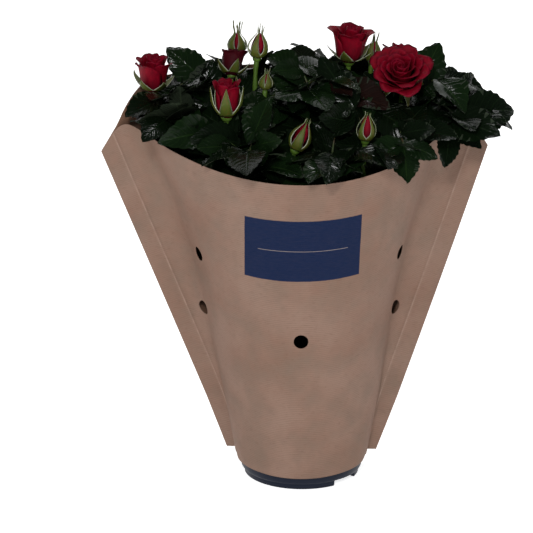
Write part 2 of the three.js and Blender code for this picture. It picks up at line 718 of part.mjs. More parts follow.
// All leaves of one mass, by the seeded rule: golden-angle steps down each shoot, drawn outwards.
// Each leaf takes the direction, of those tried, in which it has room for most of its leaflets.
function leavesOf(name) {
  const mass = MASSES[name];
  const random = randomStream(mass.seed);
  const accepted = [];
  const taken = []; // points on the leaves so far, which the next ones stay away from
  const fitted = (leaf, reaching) => {
    const free = (points, gap) =>
      points.every(
        (p) =>
          isFree(p, name, reaching) && nearest(p, taken) > LEAF.apart ** 2 && nearest(p, CELL_POINTS[name]) > gap ** 2,
      );
    if (!free(bladeProbes(leaf.blades[0]), LEAF.offLimb) || !free(stalkProbes(leaf), 0)) return null;
    const blades = leaf.blades.filter((blade, index) => index === 0 || free(bladeProbes(blade), LEAF.offLimb));
    return { curve: leaf.curve, blades, score: blades.reduce((sum, blade) => sum + blade.length, 0) };
  };
  const keepBest = (leaves, reaching) => {
    const best = leaves
      .map((leaf) => fitted(leaf, reaching))
      .reduce((most, leaf) => (leaf && (!most || leaf.score > most.score) ? leaf : most), null);
    if (!best) return false;
    accepted.push(best);
    taken.push(...stalkProbes(best), ...best.blades.flatMap(bladeProbes));
    return true;
  };
  for (const tip of mass.reaches) {
    const goal = V(...tip);
    const starts = SKELETON[name].flatMap((curve, index) =>
      index === 0 ? [] : [0.4, 0.55, 0.7, 0.85, 1].map((t) => facetPoint(curve, 0, 1, STEM.steps, t)),
    );
    const tries = starts.flatMap((at) =>
      [1.15, 1, 0.85].flatMap((scale) =>
        [1, 0.5, 1.6].map((lift) => {
          const size = scale * LEAF.length;
          const stalk = at.distanceTo(goal) - 0.92 * size;
          if (stalk < 10 || stalk > 60) return null;
          const heading = along(goal, [UP, lift * (LEAF.droop * stalk + 0.34 * size)]).sub(at).normalize();
          return compoundLeaf(at, heading, stalk, size, 2, 0);
        }),
      ),
    );
    if (!keepBest(tries.filter(Boolean), true)) console.log("no room to reach", name, tip);
  }
  mass.shoots.forEach((shoot, index) => {
    const curve = SKELETON[name][index];
    const from = index === 0 ? CROWN.fork + 0.08 : 0.2;
    let azimuth = 2 * Math.PI * random();
    for (let k = shoot.leaves - 1; k >= 0; k--) {
      const share = (k + 0.5) / shoot.leaves;
      const at = facetPoint(curve, index === 0 ? CROWN.fork : 0, 1, STEM.steps, lerp(from, 0.97, share));
      azimuth += GOLDEN_ANGLE;
      const grown = 0.86 + 0.3 * random();
      const rise = lerp(0.1, 0.6, random()) + 0.25 * share;
      const roll = 0.5 * (random() - 0.5);
      const outwards = V(at.x, 1.3 * at.y, 0).multiplyScalar(1 / 90);
      const tries = LEAF.shrinks.flatMap(([shorter, smaller]) =>
        Array.from({ length: LEAF.turns * LEAF.lifts.length }, (_, turn) => {
          const angle = azimuth + (2 * Math.PI * turn) / LEAF.turns;
          const lift = LEAF.lifts[Math.floor(turn / LEAF.turns)];
          const heading = V(Math.cos(angle), Math.sin(angle), rise + lift).add(outwards).normalize();
          const stalk = shorter * grown * lerp(LEAF.stalkLow, LEAF.stalkHigh, share);
          const pairs = stalk > LEAF.twoPairStalk ? 2 : 1;
          return compoundLeaf(at, heading, stalk, smaller * grown * LEAF.length, pairs, roll);
        }),
      );
      keepBest(tries, false);
    }
  });
  return accepted;
}

// ---------------------------------------------------------------- canes, masses and flowers

const clearShare = (curve) => CLEAR / curve.getLength();

const cane = (name) =>
  solid(limb(SKELETON[name][0], 0, CROWN.fork, CANE.footRadius, CANE.tipRadius, CANE.sides, CANE.steps, true));

function foliage(name) {
  const limbs = SKELETON[name].map((curve, index) => {
    const from = index === 0 ? CROWN.fork + clearShare(curve) : 0;
    const thin = index === 0 ? 1 : 0.85;
    return limb(curve, from, 1, thin * STEM.footRadius, thin * STEM.tipRadius, STEM.sides, STEM.steps);
  });
  const leaves = leavesOf(name);
  console.log(name, leaves.length, "leaves", leaves.flatMap((leaf) => leaf.blades).length, "leaflets");
  const heads = MASSES[name].shoots.filter((shoot) => shoot.flower).map((shoot) => flowerHead(FLOWERS[shoot.flower]));
  return wholeBody(joined([...limbs.map(solid), ...leaves.map(leafSolid), ...heads]));
}

// A head of revolution about the flower's axis whose radius and height are modulated by petal lobes.
function rosette(profile, sides) {
  const lathe = turned(
    profile.map(([r, z]) => [r, z]),
    sides,
  );
  const lobes = new Map(profile.map(([r, z, depth = 0, phase = 0]) => [z.toFixed(3) + r.toFixed(3), [depth, phase]]));
  return bent(lathe, (x, y, z) => {
    const radius = Math.hypot(x, y);
    const [depth, phase] = lobes.get(z.toFixed(3) + radius.toFixed(3)) ?? [0, 0];
    const wave = 1 + depth * Math.cos(5 * Math.atan2(y, x) + phase);
    return V(x * wave, y * wave, z * (1 + 0.5 * depth * Math.cos(5 * Math.atan2(y, x) + phase)));
  });
}

// Profiles of the three kinds of head, as shares of its size: radius, height, lobe depth and lobe phase.
// A bud's last ring is drawn out into its five sepals.
const HEADS = {
  open: [
    [0, -0.02],
    [0.09, 0],
    [0.11, 0.1],
    [0.5, 0.3, 0.1, 0],
    [0.34, 0.26],
    [0.36, 0.46, 0.09, 3],
    [0.22, 0.34],
    [0.2, 0.5, 0.1, 1.2],
    [0.09, 0.4],
    [0, 0.5],
  ],
  cup: [
    [0, -0.03],
    [0.14, 0],
    [0.16, 0.16],
    [0.45, 0.58],
    [0.53, 1.0, 0.1, 0],
    [0.38, 0.76],
    [0.34, 1.08, 0.1, 3],
    [0.16, 0.86],
    [0, 1.04],
  ],
  bud: [
    [0, -0.03],
    [0.15, 0],
    [0.17, 0.14],
    [0.33, 0.42],
    [0.28, 0.66],
    [0.16, 0.9, 0.8, 0],
    [0, 1.0],
  ],
};

function flowerHead(flower) {
  const foot = flowerFoot(flower);
  const turn = new THREE.Quaternion().setFromUnitVectors(UP, flowerAxis(flower));
  const profile = HEADS[flower.kind].map(([r, z, ...lobe]) => [r * flower.size, z * flower.size, ...lobe]);
  const head = rosette(profile, 10).applyQuaternion(turn).translate(foot.x, foot.y, foot.z);
  const stem = limb(flowerStemCurve(flower), 0, 1, FLOWER_STEM.radius, FLOWER_STEM.radius, STEM.sides, 2);
  return joined([solid(stem), solid(head)]);
}

// ---------------------------------------------------------------- assembly

const bush = new THREE.Group();
bush.name = "rose_bush";
bush.add(part("pot", pot(), MATERIALS.pot));
bush.add(part("potting_soil", pottingSoil(), MATERIALS.soil));
bush.add(part("sleeve_front", sleevePanel(-1), MATERIALS.kraft));
bush.add(part("sleeve_back", sleevePanel(1), MATERIALS.kraft));
for (const name of Object.keys(MASSES)) {
  bush.add(part(`cane_${name}`, cane(name), MATERIALS.cane));
  bush.add(part(`foliage_${name}`, foliage(name), MATERIALS.leaf));
}

export default bush;
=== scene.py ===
"""Looks of a potted patio rose: plastic nursery pot, kraft carry sleeve, canes, leaves, buds and blooms.

Shapes are worked out in millimetres with numpy, as whole arrays, and a mesh is scaled to metres when made.
The bush grows by a seeded rule: golden-angle leaves along named shoots, each turned to where it has room.
"""

import logging
import math
from dataclasses import dataclass, field, replace
from enum import Enum
from typing import Callable, Iterator, Sequence

import bmesh
import bpy
import numpy as np
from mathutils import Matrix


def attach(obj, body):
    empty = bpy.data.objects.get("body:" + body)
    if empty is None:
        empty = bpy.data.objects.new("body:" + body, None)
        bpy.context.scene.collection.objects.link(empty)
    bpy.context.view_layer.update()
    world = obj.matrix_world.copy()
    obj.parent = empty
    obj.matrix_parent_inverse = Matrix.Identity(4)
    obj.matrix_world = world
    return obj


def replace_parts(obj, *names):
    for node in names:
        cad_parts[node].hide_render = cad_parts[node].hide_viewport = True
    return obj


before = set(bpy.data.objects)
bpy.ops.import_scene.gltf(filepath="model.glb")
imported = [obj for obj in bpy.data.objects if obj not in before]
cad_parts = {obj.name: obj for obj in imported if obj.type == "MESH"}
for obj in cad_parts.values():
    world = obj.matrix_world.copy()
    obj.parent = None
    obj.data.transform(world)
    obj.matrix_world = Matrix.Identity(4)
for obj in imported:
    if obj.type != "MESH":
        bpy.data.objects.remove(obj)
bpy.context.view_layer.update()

Array = np.ndarray
Number = float | Array
Rng = np.random.Generator
Piece = bpy.types.Object
Mesh = bpy.types.Mesh
Material = bpy.types.Material
Triple = tuple[float, float, float]
Colour = tuple[float, float, float, float]
Link = tuple[bpy.types.Node, str | int]
Input = Link | Colour | Triple | float
Sheet = tuple[Array, Array, Array]  # wrapped grids, their maps and the material number of each column
LOG = logging.getLogger("rose")
MM = 0.001
UP = np.array([0.0, 0.0, 1.0])
BODY = "root"
ANY_TURN = 6.28  # upper bound of a random angle, in radians


# ---------------- vectors and curves


def unit(vectors: Array) -> Array:
    """Scales vectors along the last axis to length one."""
    return vectors / np.maximum(np.linalg.norm(vectors, axis=-1, keepdims=True), 1e-12)


def dot(a: Array, b: Array) -> Array:
    """Dot product along the last axis, which is kept."""
    return np.sum(a * b, axis=-1, keepdims=True)


def lerp(a: Number, b: Number, share: Number) -> Number:
    """Straight blend from a to b."""
    return a + (b - a) * share


def smoothstep(x: Array, low: float, high: float) -> Array:
    """Eased step: 3s^2 - 2s^3 with s the share of x between low and high."""
    s = np.clip((x - low) / (high - low), 0, 1)
    return s * s * (3 - 2 * s)


def bezier(curve: Array, t: Array) -> Array:
    """Points (1-t)^2 a + 2t(1-t) b + t^2 c of quadratic Bezier curves, (..., 3, 3), at shares t, (...)."""
    t = np.asarray(t, float)[..., None]
    return (1 - t) ** 2 * curve[..., 0, :] + 2 * t * (1 - t) * curve[..., 1, :] + t**2 * curve[..., 2, :]


def bezier_tangent(curve: Array, t: Array) -> Array:
    """Unit tangent of a quadratic Bezier: (1-t)(b-a) + t(c-b), scaled to one."""
    t = np.asarray(t, float)[..., None]
    return unit((1 - t) * (curve[..., 1, :] - curve[..., 0, :]) + t * (curve[..., 2, :] - curve[..., 1, :]))


def facet_point(curve: Array, start: float, end: float, steps: int, t: float) -> Array:
    """Point t of a curve's faceted limb, which runs from share start to share end in straight steps."""
    place = min(max((t - start) / (end - start), 0), 1) * steps
    step = min(steps - 1, math.floor(place))
    low, high = (bezier(curve, lerp(start, end, k / steps)) for k in (step, step + 1))
    return lerp(low, high, place - step)


def cross_frame(tangent: Array) -> tuple[Array, Array]:
    """Two unit vectors square to each tangent, turned smoothly along a path."""
    reference = np.where(np.abs(tangent[..., 2:3]) > 0.9, [1.0, 0.0, 0.0], UP)
    side = unit(np.cross(tangent, reference))
    return side, np.cross(side, tangent)


def waves(points: Array, size: float, seed: int, octaves: int = 3) -> Array:
    """Smooth seeded noise from -1 to 1: a sum of sines in random directions, each octave half as long."""
    rng = np.random.default_rng(seed)
    total = np.zeros(points.shape[:-1])
    for octave in range(octaves):
        for _ in range(3):
            direction = unit(rng.normal(size=3)) * (2 * math.pi / size) * 1.9**octave
            total += np.sin(points @ direction + rng.uniform(0, ANY_TURN)) * 0.6**octave
    return total / 4.5


# ---------------- meshes


@dataclass
class MeshBuilder:
    """Gathers grids of points into one mesh; grids are quads between neighbours in rows and columns."""

    points: list[Array] = field(default_factory=list)
    faces: list[Array] = field(default_factory=list)
    uvs: list[Array] = field(default_factory=list)
    slots: list[Array] = field(default_factory=list)
    count: int = 0

    def add(
        self, grid: Array, uv: Array | None = None, wrap: bool = False, slots: Array | None = None
    ) -> None:
        """Adds grids of shape (n, rows, columns, 3).

        Args:
            grid: the points in millimetres.
            uv: map places of shape (n, rows, columns, 2), or None for rows and columns as shares.
            wrap: joins the last column to the first.
            slots: material number of each column of faces.
        """
        if grid.ndim == 3:
            grid = grid[None]
            uv = None if uv is None else uv[None]
        n, rows, columns, _ = grid.shape
        if uv is None:
            v, u = np.meshgrid(np.linspace(0, 1, rows), np.linspace(0, 1, columns), indexing="ij")
            uv = np.broadcast_to(np.stack([u, v], -1), (n, rows, columns, 2))
        index = np.arange(n * rows * columns).reshape(n, rows, columns) + self.count
        right = np.roll(index, -1, axis=2) if wrap else index[:, :, 1:]
        left = index if wrap else index[:, :, :-1]
        quads = np.stack([left[:, :-1], right[:, :-1], right[:, 1:], left[:, 1:]], -1)
        across = quads.shape[2]
        self.points.append(grid.reshape(-1, 3))
        self.uvs.append(np.asarray(uv, float).reshape(-1, 2))
        self.faces.append(quads.reshape(-1, 4))
        of_column = np.zeros(across, int) if slots is None else np.asarray(slots)
        self.slots.append(np.broadcast_to(of_column, (n, rows - 1, across)).reshape(-1))
        self.count += n * rows * columns

    def build(self, name: str, materials: Sequence[Material], slot: str) -> Piece:
        """Makes the object, welds points that coincide, as at poles, and registers it as a piece.

        Args:
            name: the piece's name.
            materials: its materials in the order of the slot numbers.
            slot: not used.
        Returns:
            The new object.
        """
        points = np.concatenate(self.points) * MM
        faces = np.concatenate(self.faces)
        mesh = bpy.data.meshes.new(name)
        mesh.vertices.add(len(points))
        mesh.vertices.foreach_set("co", points.astype(np.float32).ravel())
        mesh.loops.add(faces.size)
        mesh.loops.foreach_set("vertex_index", faces.astype(np.int32).ravel())
        mesh.polygons.add(len(faces))
        mesh.polygons.foreach_set("loop_start", np.arange(0, faces.size, 4, dtype=np.int32))
        mesh.polygons.foreach_set("material_index", np.concatenate(self.slots).astype(np.int32))
        layer = mesh.uv_layers.new(name="Surface")
        layer.data.foreach_set("uv", np.concatenate(self.uvs)[faces.ravel()].astype(np.float32).ravel())
        mesh.update(calc_edges=True)
        weld(mesh)
        return register(name, mesh, materials)


def weld(mesh: Mesh) -> None:
    """Merges points closer than a thousandth of a millimetre and drops the faces that collapse."""
    work = bmesh.new()
    work.from_mesh(mesh)
    bmesh.ops.remove_doubles(work, verts=work.verts, dist=1e-6)
    work.to_mesh(mesh)
    work.free()


def face_outwards(mesh: Mesh) -> None:
    """Turns the faces of a closed mesh to look outwards."""
    work = bmesh.new()
    work.from_mesh(mesh)
    bmesh.ops.recalc_face_normals(work, faces=work.faces)
    work.to_mesh(mesh)
    work.free()


def register(
    name: str, mesh: Mesh, materials: Sequence[Material]
) -> Piece:
    """Links a mesh as a smooth piece that rides on the plant, logs it and returns it."""
    mesh.polygons.foreach_set("use_smooth", np.ones(len(mesh.polygons), bool))
    for material in materials:
        mesh.materials.append(material)
    piece = bpy.data.objects.new(name, mesh)
    bpy.context.scene.collection.objects.link(piece)
    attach(piece, BODY)
    LOG.info("%s: %d faces", name, len(mesh.polygons))
    return piece


def tube(path: Array, radius: Array, sides: int) -> Array:
    """Round tube along a path, closed at its ends: a ring is path + radius (side cos a - other sin a).

    Args:
        path: points of shape (n, steps, 3).
        radius: radii of shape (n, steps) or (steps,).
        sides: points round each ring.
    Returns:
        Grids of shape (n, rings, sides, 3).
    """
    radius = np.broadcast_to(radius, path.shape[:2])
    path = np.concatenate([path[:, :1], path, path[:, -1:]], 1)
    none = np.zeros((path.shape[0], 1))
    radius = np.concatenate([none, radius, none], 1)
    tangent = np.gradient(path, axis=1)
    for end, inner in ((0, 2), (1, 2), (-1, -3), (-2, -3)):
        tangent[:, end] = tangent[:, inner]
    side, other = cross_frame(unit(tangent))
    angle = np.arange(sides) * 2 * math.pi / sides
    ring = side[:, :, None] * np.cos(angle)[:, None] - other[:, :, None] * np.sin(angle)[:, None]
    return path[:, :, None] + radius[..., None, None] * ring


# ---------------- materials


def linear(colour: str) -> Colour:
    """Linear opaque colour of an sRGB hex value such as "#9c7c68"."""
    parts = [int(colour[k : k + 2], 16) / 255 for k in (1, 3, 5)]
    return (*[c / 12.92 if c <= 0.04045 else ((c + 0.055) / 1.055) ** 2.4 for c in parts], 1.0)


class Surface:
    """A material's node tree with one way to add a node."""

    def __init__(self, name: str) -> None:
        """Starts an empty material with a Principled shader."""
        self.material = bpy.data.materials.new(name)
        self.material.use_nodes = True
        self.tree = self.material.node_tree
        self.shader = self.tree.nodes["Principled BSDF"]

    def node(
        self, kind: str, links: dict[str | int, Input] | None = None, **settings: str | bool
    ) -> bpy.types.Node:
        """Adds a node of a kind, with links or values for its inputs and settings for its attributes."""
        made = self.tree.nodes.new("ShaderNode" + kind)
        for key, value in settings.items():
            setattr(made, key, value)
        for key, value in (links or {}).items():
            self.feed(made, key, value)
        return made

    def feed(self, target: bpy.types.Node, key: str | int, value: Input) -> None:
        """Links or sets one input of a node."""
        if isinstance(value, tuple) and len(value) == 2 and isinstance(value[0], bpy.types.Node):
            self.tree.links.new(value[0].outputs[value[1]], target.inputs[key])
        else:
            target.inputs[key].default_value = value

    def math(
        self, operation: str, a: Input, b: Input = 0.0, c: Input = 0.0, clamp: bool = False
    ) -> Link:
        """Adds arithmetic on links or numbers and gives its output."""
        made = self.node("Math", {0: a, 1: b, 2: c}, operation=operation, use_clamp=clamp)
        return made, "Value"

    def ramp(self, value: Input, gain: float, start: float) -> Link:
        """Gain times a value plus a start, kept from 0 to 1."""
        return self.math("MULTIPLY_ADD", value, gain, start, True)

    def off_middle(self, share: Link) -> Link:
        """How far a share is from one half: 0 there, 1 at either end."""
        return self.math("ABSOLUTE", self.math("MULTIPLY_ADD", share, 2.0, -1.0))

    def mix(self, share: Input, a: Input, b: Input, blend: str = "MIX") -> Link:
        """Adds a colour mix and gives its output."""
        made = self.node("Mix", data_type="RGBA", blend_type=blend)
        for key, value in ((0, share), (6, a), (7, b)):
            self.feed(made, key, value)
        return made, 2

    def stretched(self, where: Link, scale: Triple) -> Link:
        """Scales places, so that a pattern on them is drawn out where the scale is small."""
        return self.node("Mapping", {"Vector": where, "Scale": scale}), 0

    def noise(self, where: Link, size_mm: float, detail: float = 4, rough: float = 0.55) -> Link:
        """Adds noise whose features are size_mm across and gives its factor."""
        settings = {"Vector": where, "Scale": 1 / (size_mm * MM), "Detail": detail, "Roughness": rough}
        return self.node("TexNoise", settings), 0

    def finish(
        self, colour: Input, roughness: Input, height: Link | None = None,
        strength: float = 0.5, distance_mm: float = 0.2, **plain: Input,
    ) -> Material:  # fmt: skip
        """Feeds the shader.

        Args:
            colour: link or plain base colour.
            roughness: link or number.
            height: link that bumps the surface, or None.
            strength: of the bump.
            distance_mm: of the bump.
            plain: other inputs by name, with underscores for spaces, set as plain values.
        Returns:
            The material.
        """
        self.feed(self.shader, "Base Color", colour)
        self.feed(self.shader, "Roughness", roughness)
        if height is not None:
            bump = self.node("Bump", {"Strength": strength, "Distance": distance_mm * MM, "Height": height})
            self.feed(self.shader, "Normal", (bump, "Normal"))
        for key, value in plain.items():
            self.feed(self.shader, key.replace("_", " "), value)
        return self.material

    def places(self) -> Link:
        """Object coordinates, in metres."""
        return self.node("TexCoord"), "Object"

    def surface_map(self) -> tuple[Link, Link]:
        """The two numbers of the piece's own map."""
        split = self.node("SeparateXYZ", {0: (self.node("UVMap", uv_map="Surface"), "UV")})
        return (split, "X"), (split, "Y")


SHEET_MM = 500.0  # a panel's map runs over this many millimetres each way, with 0.5 at its middle line


@dataclass(frozen=True)
class KraftPaper:
    """Ribbed kraft paper: brown matt fibre with fine cross ribs and flecks, and one navy printed panel."""

    colour: str = "#8f7567"
    dark: str = "#7f5f4f"
    grey: str = "#7a695c"
    fleck: str = "#654a3b"
    # lighter colour of the painted highlight along the glued seam's ridge
    seam_highlight: str = "#a28a7c"
    ink: str = "#031b3e"
    rule: str = "#8f8480"
    rib_mm: float = 1.55
    panel_half_width: float = 44.0
    panel_low: float = 175.6
    panel_high: float = 223.6
    # a level line of the sheet rises by this times the square of its distance from the middle
    sheet_bow: float = 0.0013

    def material(self, name: str, printed: bool, seam: "Seam") -> Material:
        """Builds the paper, with the navy panel if it is printed and a rubbed line along its glued seams."""
        s = Surface(name)
        u, v = s.surface_map()
        across = s.math("MULTIPLY", s.math("SUBTRACT", u, 0.5), SHEET_MM)
        squared = s.math("MULTIPLY", across, across)
        sheet_z = s.math("MULTIPLY", v, SHEET_MM)
        height = s.math("MULTIPLY_ADD", squared, -self.sheet_bow, sheet_z)
        where = s.places()
        fibres = s.noise(s.stretched(where, (0.35, 0.35, 1.4)), 1.4, 5, 0.7)
        phase = s.math("MULTIPLY", height, 2 * math.pi / self.rib_mm)
        wave = s.math("SINE", s.math("MULTIPLY_ADD", s.noise(where, 12, 2), 4.0, phase))
        ribs = s.math("MULTIPLY", wave, s.ramp(s.noise(where, 9, 3), 2.0, -0.45))
        cloud = s.noise(where, 55, 4, 0.6)
        patch = s.noise(where, 26, 4, 0.6)
        base = s.mix(s.ramp(cloud, 2.0, -0.7), linear(self.colour), linear(self.dark))
        base = s.mix(s.ramp(patch, 2.2, -0.95), base, linear(self.grey))
        base = s.mix(s.ramp(fibres, 2.2, -1.2), base, linear(self.fleck))
        shade = s.math("MULTIPLY_ADD", ribs, 0.1, 0.97)
        base = s.mix(1.0, base, (s.node("CombineColor", {0: shade, 1: shade, 2: shade}), 0), "MULTIPLY")
        # painted highlight: a lighter line, broken by noise, along the ridge where the flange ends
        base = s.mix(self.seam_highlight_mask(s, across, sheet_z, seam), base, linear(self.seam_highlight))
        if printed:
            panel = (self.panel_half_width, (self.panel_high - self.panel_low) / 2)
            fuzz = s.math("MULTIPLY_ADD", fibres, 0.8, -0.4)
            inside = self.box_mask(s, across, height, panel, fuzz, (3.0, 3.0))
            rule = self.box_mask(s, across, height, (0.76 * panel[0], 0.3), 0.0, (3.0, 4.0))
            worn = s.ramp(fibres, 0.08, 0.94)
            base = s.mix(s.math("MULTIPLY", inside, worn), base, linear(self.ink))
            base = s.mix(rule, base, linear(self.rule))
        bump = s.math("MULTIPLY_ADD", fibres, 0.4, s.math("MULTIPLY", ribs, 0.5))
        rough = s.math("MULTIPLY_ADD", fibres, 0.15, 0.68)
        return s.finish(base, rough, bump, 0.45, 0.15, IOR=1.25)

    @staticmethod
    def seam_highlight_mask(s: Surface, across: Link, sheet_z: Link, seam: "Seam") -> Link:
        """One on the thin line where the flange ends, a seam's width in from the outer edge: a painted
        highlight along the seam's ridge.
        """
        curve, slope, foot = seam.edge_fit
        edge = s.math("MULTIPLY_ADD", s.math("MULTIPLY_ADD", sheet_z, curve, slope), sheet_z, foot)
        inwards = s.math("SUBTRACT", s.math("SUBTRACT", edge, s.math("ABSOLUTE", across)), seam.width)
        line = s.ramp(s.math("ABSOLUTE", inwards), -1 / 0.9, 1.0)
        return s.math("MULTIPLY", line, s.ramp(s.noise(s.places(), 7, 3), 2.0, -0.5))

    def box_mask(
        self, s: Surface, across: Link, height: Link, half: tuple[float, float], fuzz: Input,
        rise: tuple[float, float],
    ) -> Link:  # fmt: skip
        """One inside a box round the panel's middle: the product of a step across and a step upwards.

        Args:
            s: the paper's surface.
            across: distance from the middle line.
            height: height on the sheet.
            half: half width and half height of the box.
            fuzz: moves its edges in.
            rise: how fast each step rises.
        Returns:
            The mask.
        """
        middle = (self.panel_low + self.panel_high) / 2
        steps = []
        for off, reach, gain in zip((across, s.math("SUBTRACT", height, middle)), half, rise):
            inwards = s.math("SUBTRACT", reach, s.math("ADD", s.math("ABSOLUTE", off), fuzz))
            steps.append(s.math("MULTIPLY", inwards, gain, clamp=True))
        return s.math("MULTIPLY", *steps)


@dataclass(frozen=True)
class Seam:
    """Glued flange: its width, and the sheet distance of its outer edge as a quadratic in height."""

    width: float
    edge_fit: tuple[float, float, float]


@dataclass(frozen=True)
class MouldedPolypropylene:
    """Injection-moulded recycled polypropylene: dark blue-grey, satin, with faint flow marks and dust."""

    colour: str = "#0f1728"
    dust: str = "#1c212b"

    def material(self) -> Material:
        """Builds the plastic."""
        s = Surface("pot_moulded_polypropylene")
        where = s.places()
        flow = s.noise(s.stretched(where, (1, 1, 0.15)), 9, 3)
        specks = s.noise(where, 1.2, 3)
        dust = s.ramp(s.noise(where, 18, 5, 0.65), 1.3, -0.62)
        base = s.mix(dust, linear(self.colour), linear(self.dust))
        rough = s.math("MULTIPLY_ADD", flow, 0.22, 0.34)
        return s.finish(base, rough, specks, 0.25, 0.08, IOR=1.25)


@dataclass(frozen=True)
class PeatSubstrate:
    """Moist peat and bark fines: near-black crumbs with paler fibres."""

    colour: str = "#21180f"
    fibre: str = "#57412b"

    def material(self) -> Material:
        """Builds the soil."""
        s = Surface("peat_substrate")
        where = s.places()
        crumbs = s.noise(where, 3, 6, 0.7)
        base = s.mix(s.ramp(crumbs, 3.0, -1.6), linear(self.colour), linear(self.fibre))
        return s.finish(base, 0.92, crumbs, 0.9, 1.2)


@dataclass(frozen=True)
class RoseLeaf:
    """Leathery rose leaf: waxed, very dark green, with sunken veins that run out to the teeth."""

    name: str
    colour: str
    blotch: str
    vein: str
    roughness: float = 0.15
    vein_count: int = 8

    def material(self) -> Material:
        """Builds the leaf's face from its own map: u runs across the blade and v along the midrib."""
        s = Surface(self.name)
        u, v = s.surface_map()
        side = s.off_middle(u)
        along = s.math("MULTIPLY", s.math("MULTIPLY_ADD", side, -0.28, v), float(self.vein_count))
        vein = s.ramp(s.off_middle(s.math("FRACT", along)), 5.0, -4.0)
        rib = s.ramp(side, -14.0, 1.0)
        lines = s.math("MAXIMUM", s.math("MULTIPLY", vein, 0.45), rib)
        patch = s.noise(s.places(), 22, 4)
        cells = s.noise(s.places(), 1.3, 2)
        base = s.mix(s.ramp(patch, 2.4, -0.8), linear(self.colour), linear(self.blotch))
        base = s.mix(s.math("MULTIPLY", lines, 0.5), base, linear(self.vein))
        quilt = s.math("SINE", s.math("MULTIPLY", along, math.pi * 2))
        fine = s.math("MULTIPLY_ADD", quilt, 0.25, s.math("MULTIPLY", cells, 0.25))
        height = s.math("MULTIPLY_ADD", lines, -0.9, fine)
        rough = s.math("MULTIPLY_ADD", patch, 0.14, self.roughness - 0.06)
        return s.finish(base, rough, height, 0.6, 0.4, IOR=1.2)


@dataclass(frozen=True)
class GreenTissue:
    """Young stem or sepal: soft waxy green that turns red-brown in patches."""

    name: str
    colour: str
    tint: str
    tint_share: float = 0.3
    roughness: float = 0.45

    def material(self) -> Material:
        """Builds the tissue."""
        s = Surface(self.name)
        where = s.places()
        patch = s.noise(where, 9, 4)
        cells = s.noise(s.stretched(where, (1, 1, 0.2)), 0.9, 2)
        share = s.ramp(patch, 3.0, 3.0 * (self.tint_share - 0.5) - 1.2)
        base = s.mix(share, linear(self.colour), linear(self.tint))
        return s.finish(base, self.roughness, cells, 0.3, 0.1, IOR=1.45)


@dataclass(frozen=True)
class Sepal:
    """Sepal of a rose bud: green outside with a white felted margin."""

    colour: str = "#4d5f1b"
    tint: str = "#6a521f"
    felt: str = "#c9ceb8"

    def material(self) -> Material:
        """Builds the sepal; u near 0 and 1 is the margin."""
        s = Surface("sepal_with_felted_margin")
        u, _ = s.surface_map()
        side = s.off_middle(u)
        streak = s.noise(s.stretched(s.places(), (1, 1, 0.12)), 1.4, 3)
        base = s.mix(s.ramp(streak, 2.2, -0.9), linear(self.colour), linear(self.tint))
        base = s.mix(s.ramp(side, 9.0, -7.3), base, linear(self.felt))
        return s.finish(base, 0.55, streak, 0.35, 0.15, IOR=1.42)


@dataclass(frozen=True)
class VelvetPetal:
    """Rose petal: deep crimson with velvety cells, painted darker at its foot as shade in the flower's
    hollow, and darker towards the rolled rim.
    """

    name: str
    colour: str
    shade: str
    rim: str

    def material(self) -> Material:
        """Builds the petal; v runs from its foot to its rim."""
        s = Surface(self.name)
        _, v = s.surface_map()
        streak = s.noise(s.stretched(s.places(), (1, 1, 0.35)), 2.2, 4)
        # painted shade: the petal's foot, deep in the flower, blends to the shade colour; random streaks of
        # the same colour follow
        base = s.mix(s.ramp(v, -1.6, 1.0), linear(self.colour), linear(self.shade))
        base = s.mix(s.ramp(streak, 1.4, -0.5), base, linear(self.shade))
        base = s.mix(s.ramp(v, 9.0, -8.2), base, linear(self.rim))
        cells = s.noise(s.places(), 0.5, 2)
        height = s.math("MULTIPLY_ADD", streak, 0.7, s.math("MULTIPLY", cells, 0.3))
        return s.finish(base, 0.62, height, 0.3, 0.25, IOR=1.22)


@dataclass(frozen=True)
class StudioSweep:
    """Matt white studio paper under the plant and behind it."""

    colour: str = "#f4f4f4"
    glow: float = 0.8

    def material(self) -> Material:
        """Builds the backdrop."""
        s = Surface("studio_paper")
        grain = s.noise(s.places(), 40, 3)
        base = s.mix(grain, linear(self.colour), linear("#f8f8f8"))
        glow = {"Emission_Color": linear("#ffffff"), "Emission_Strength": self.glow}
        return s.finish(base, 0.9, **glow)


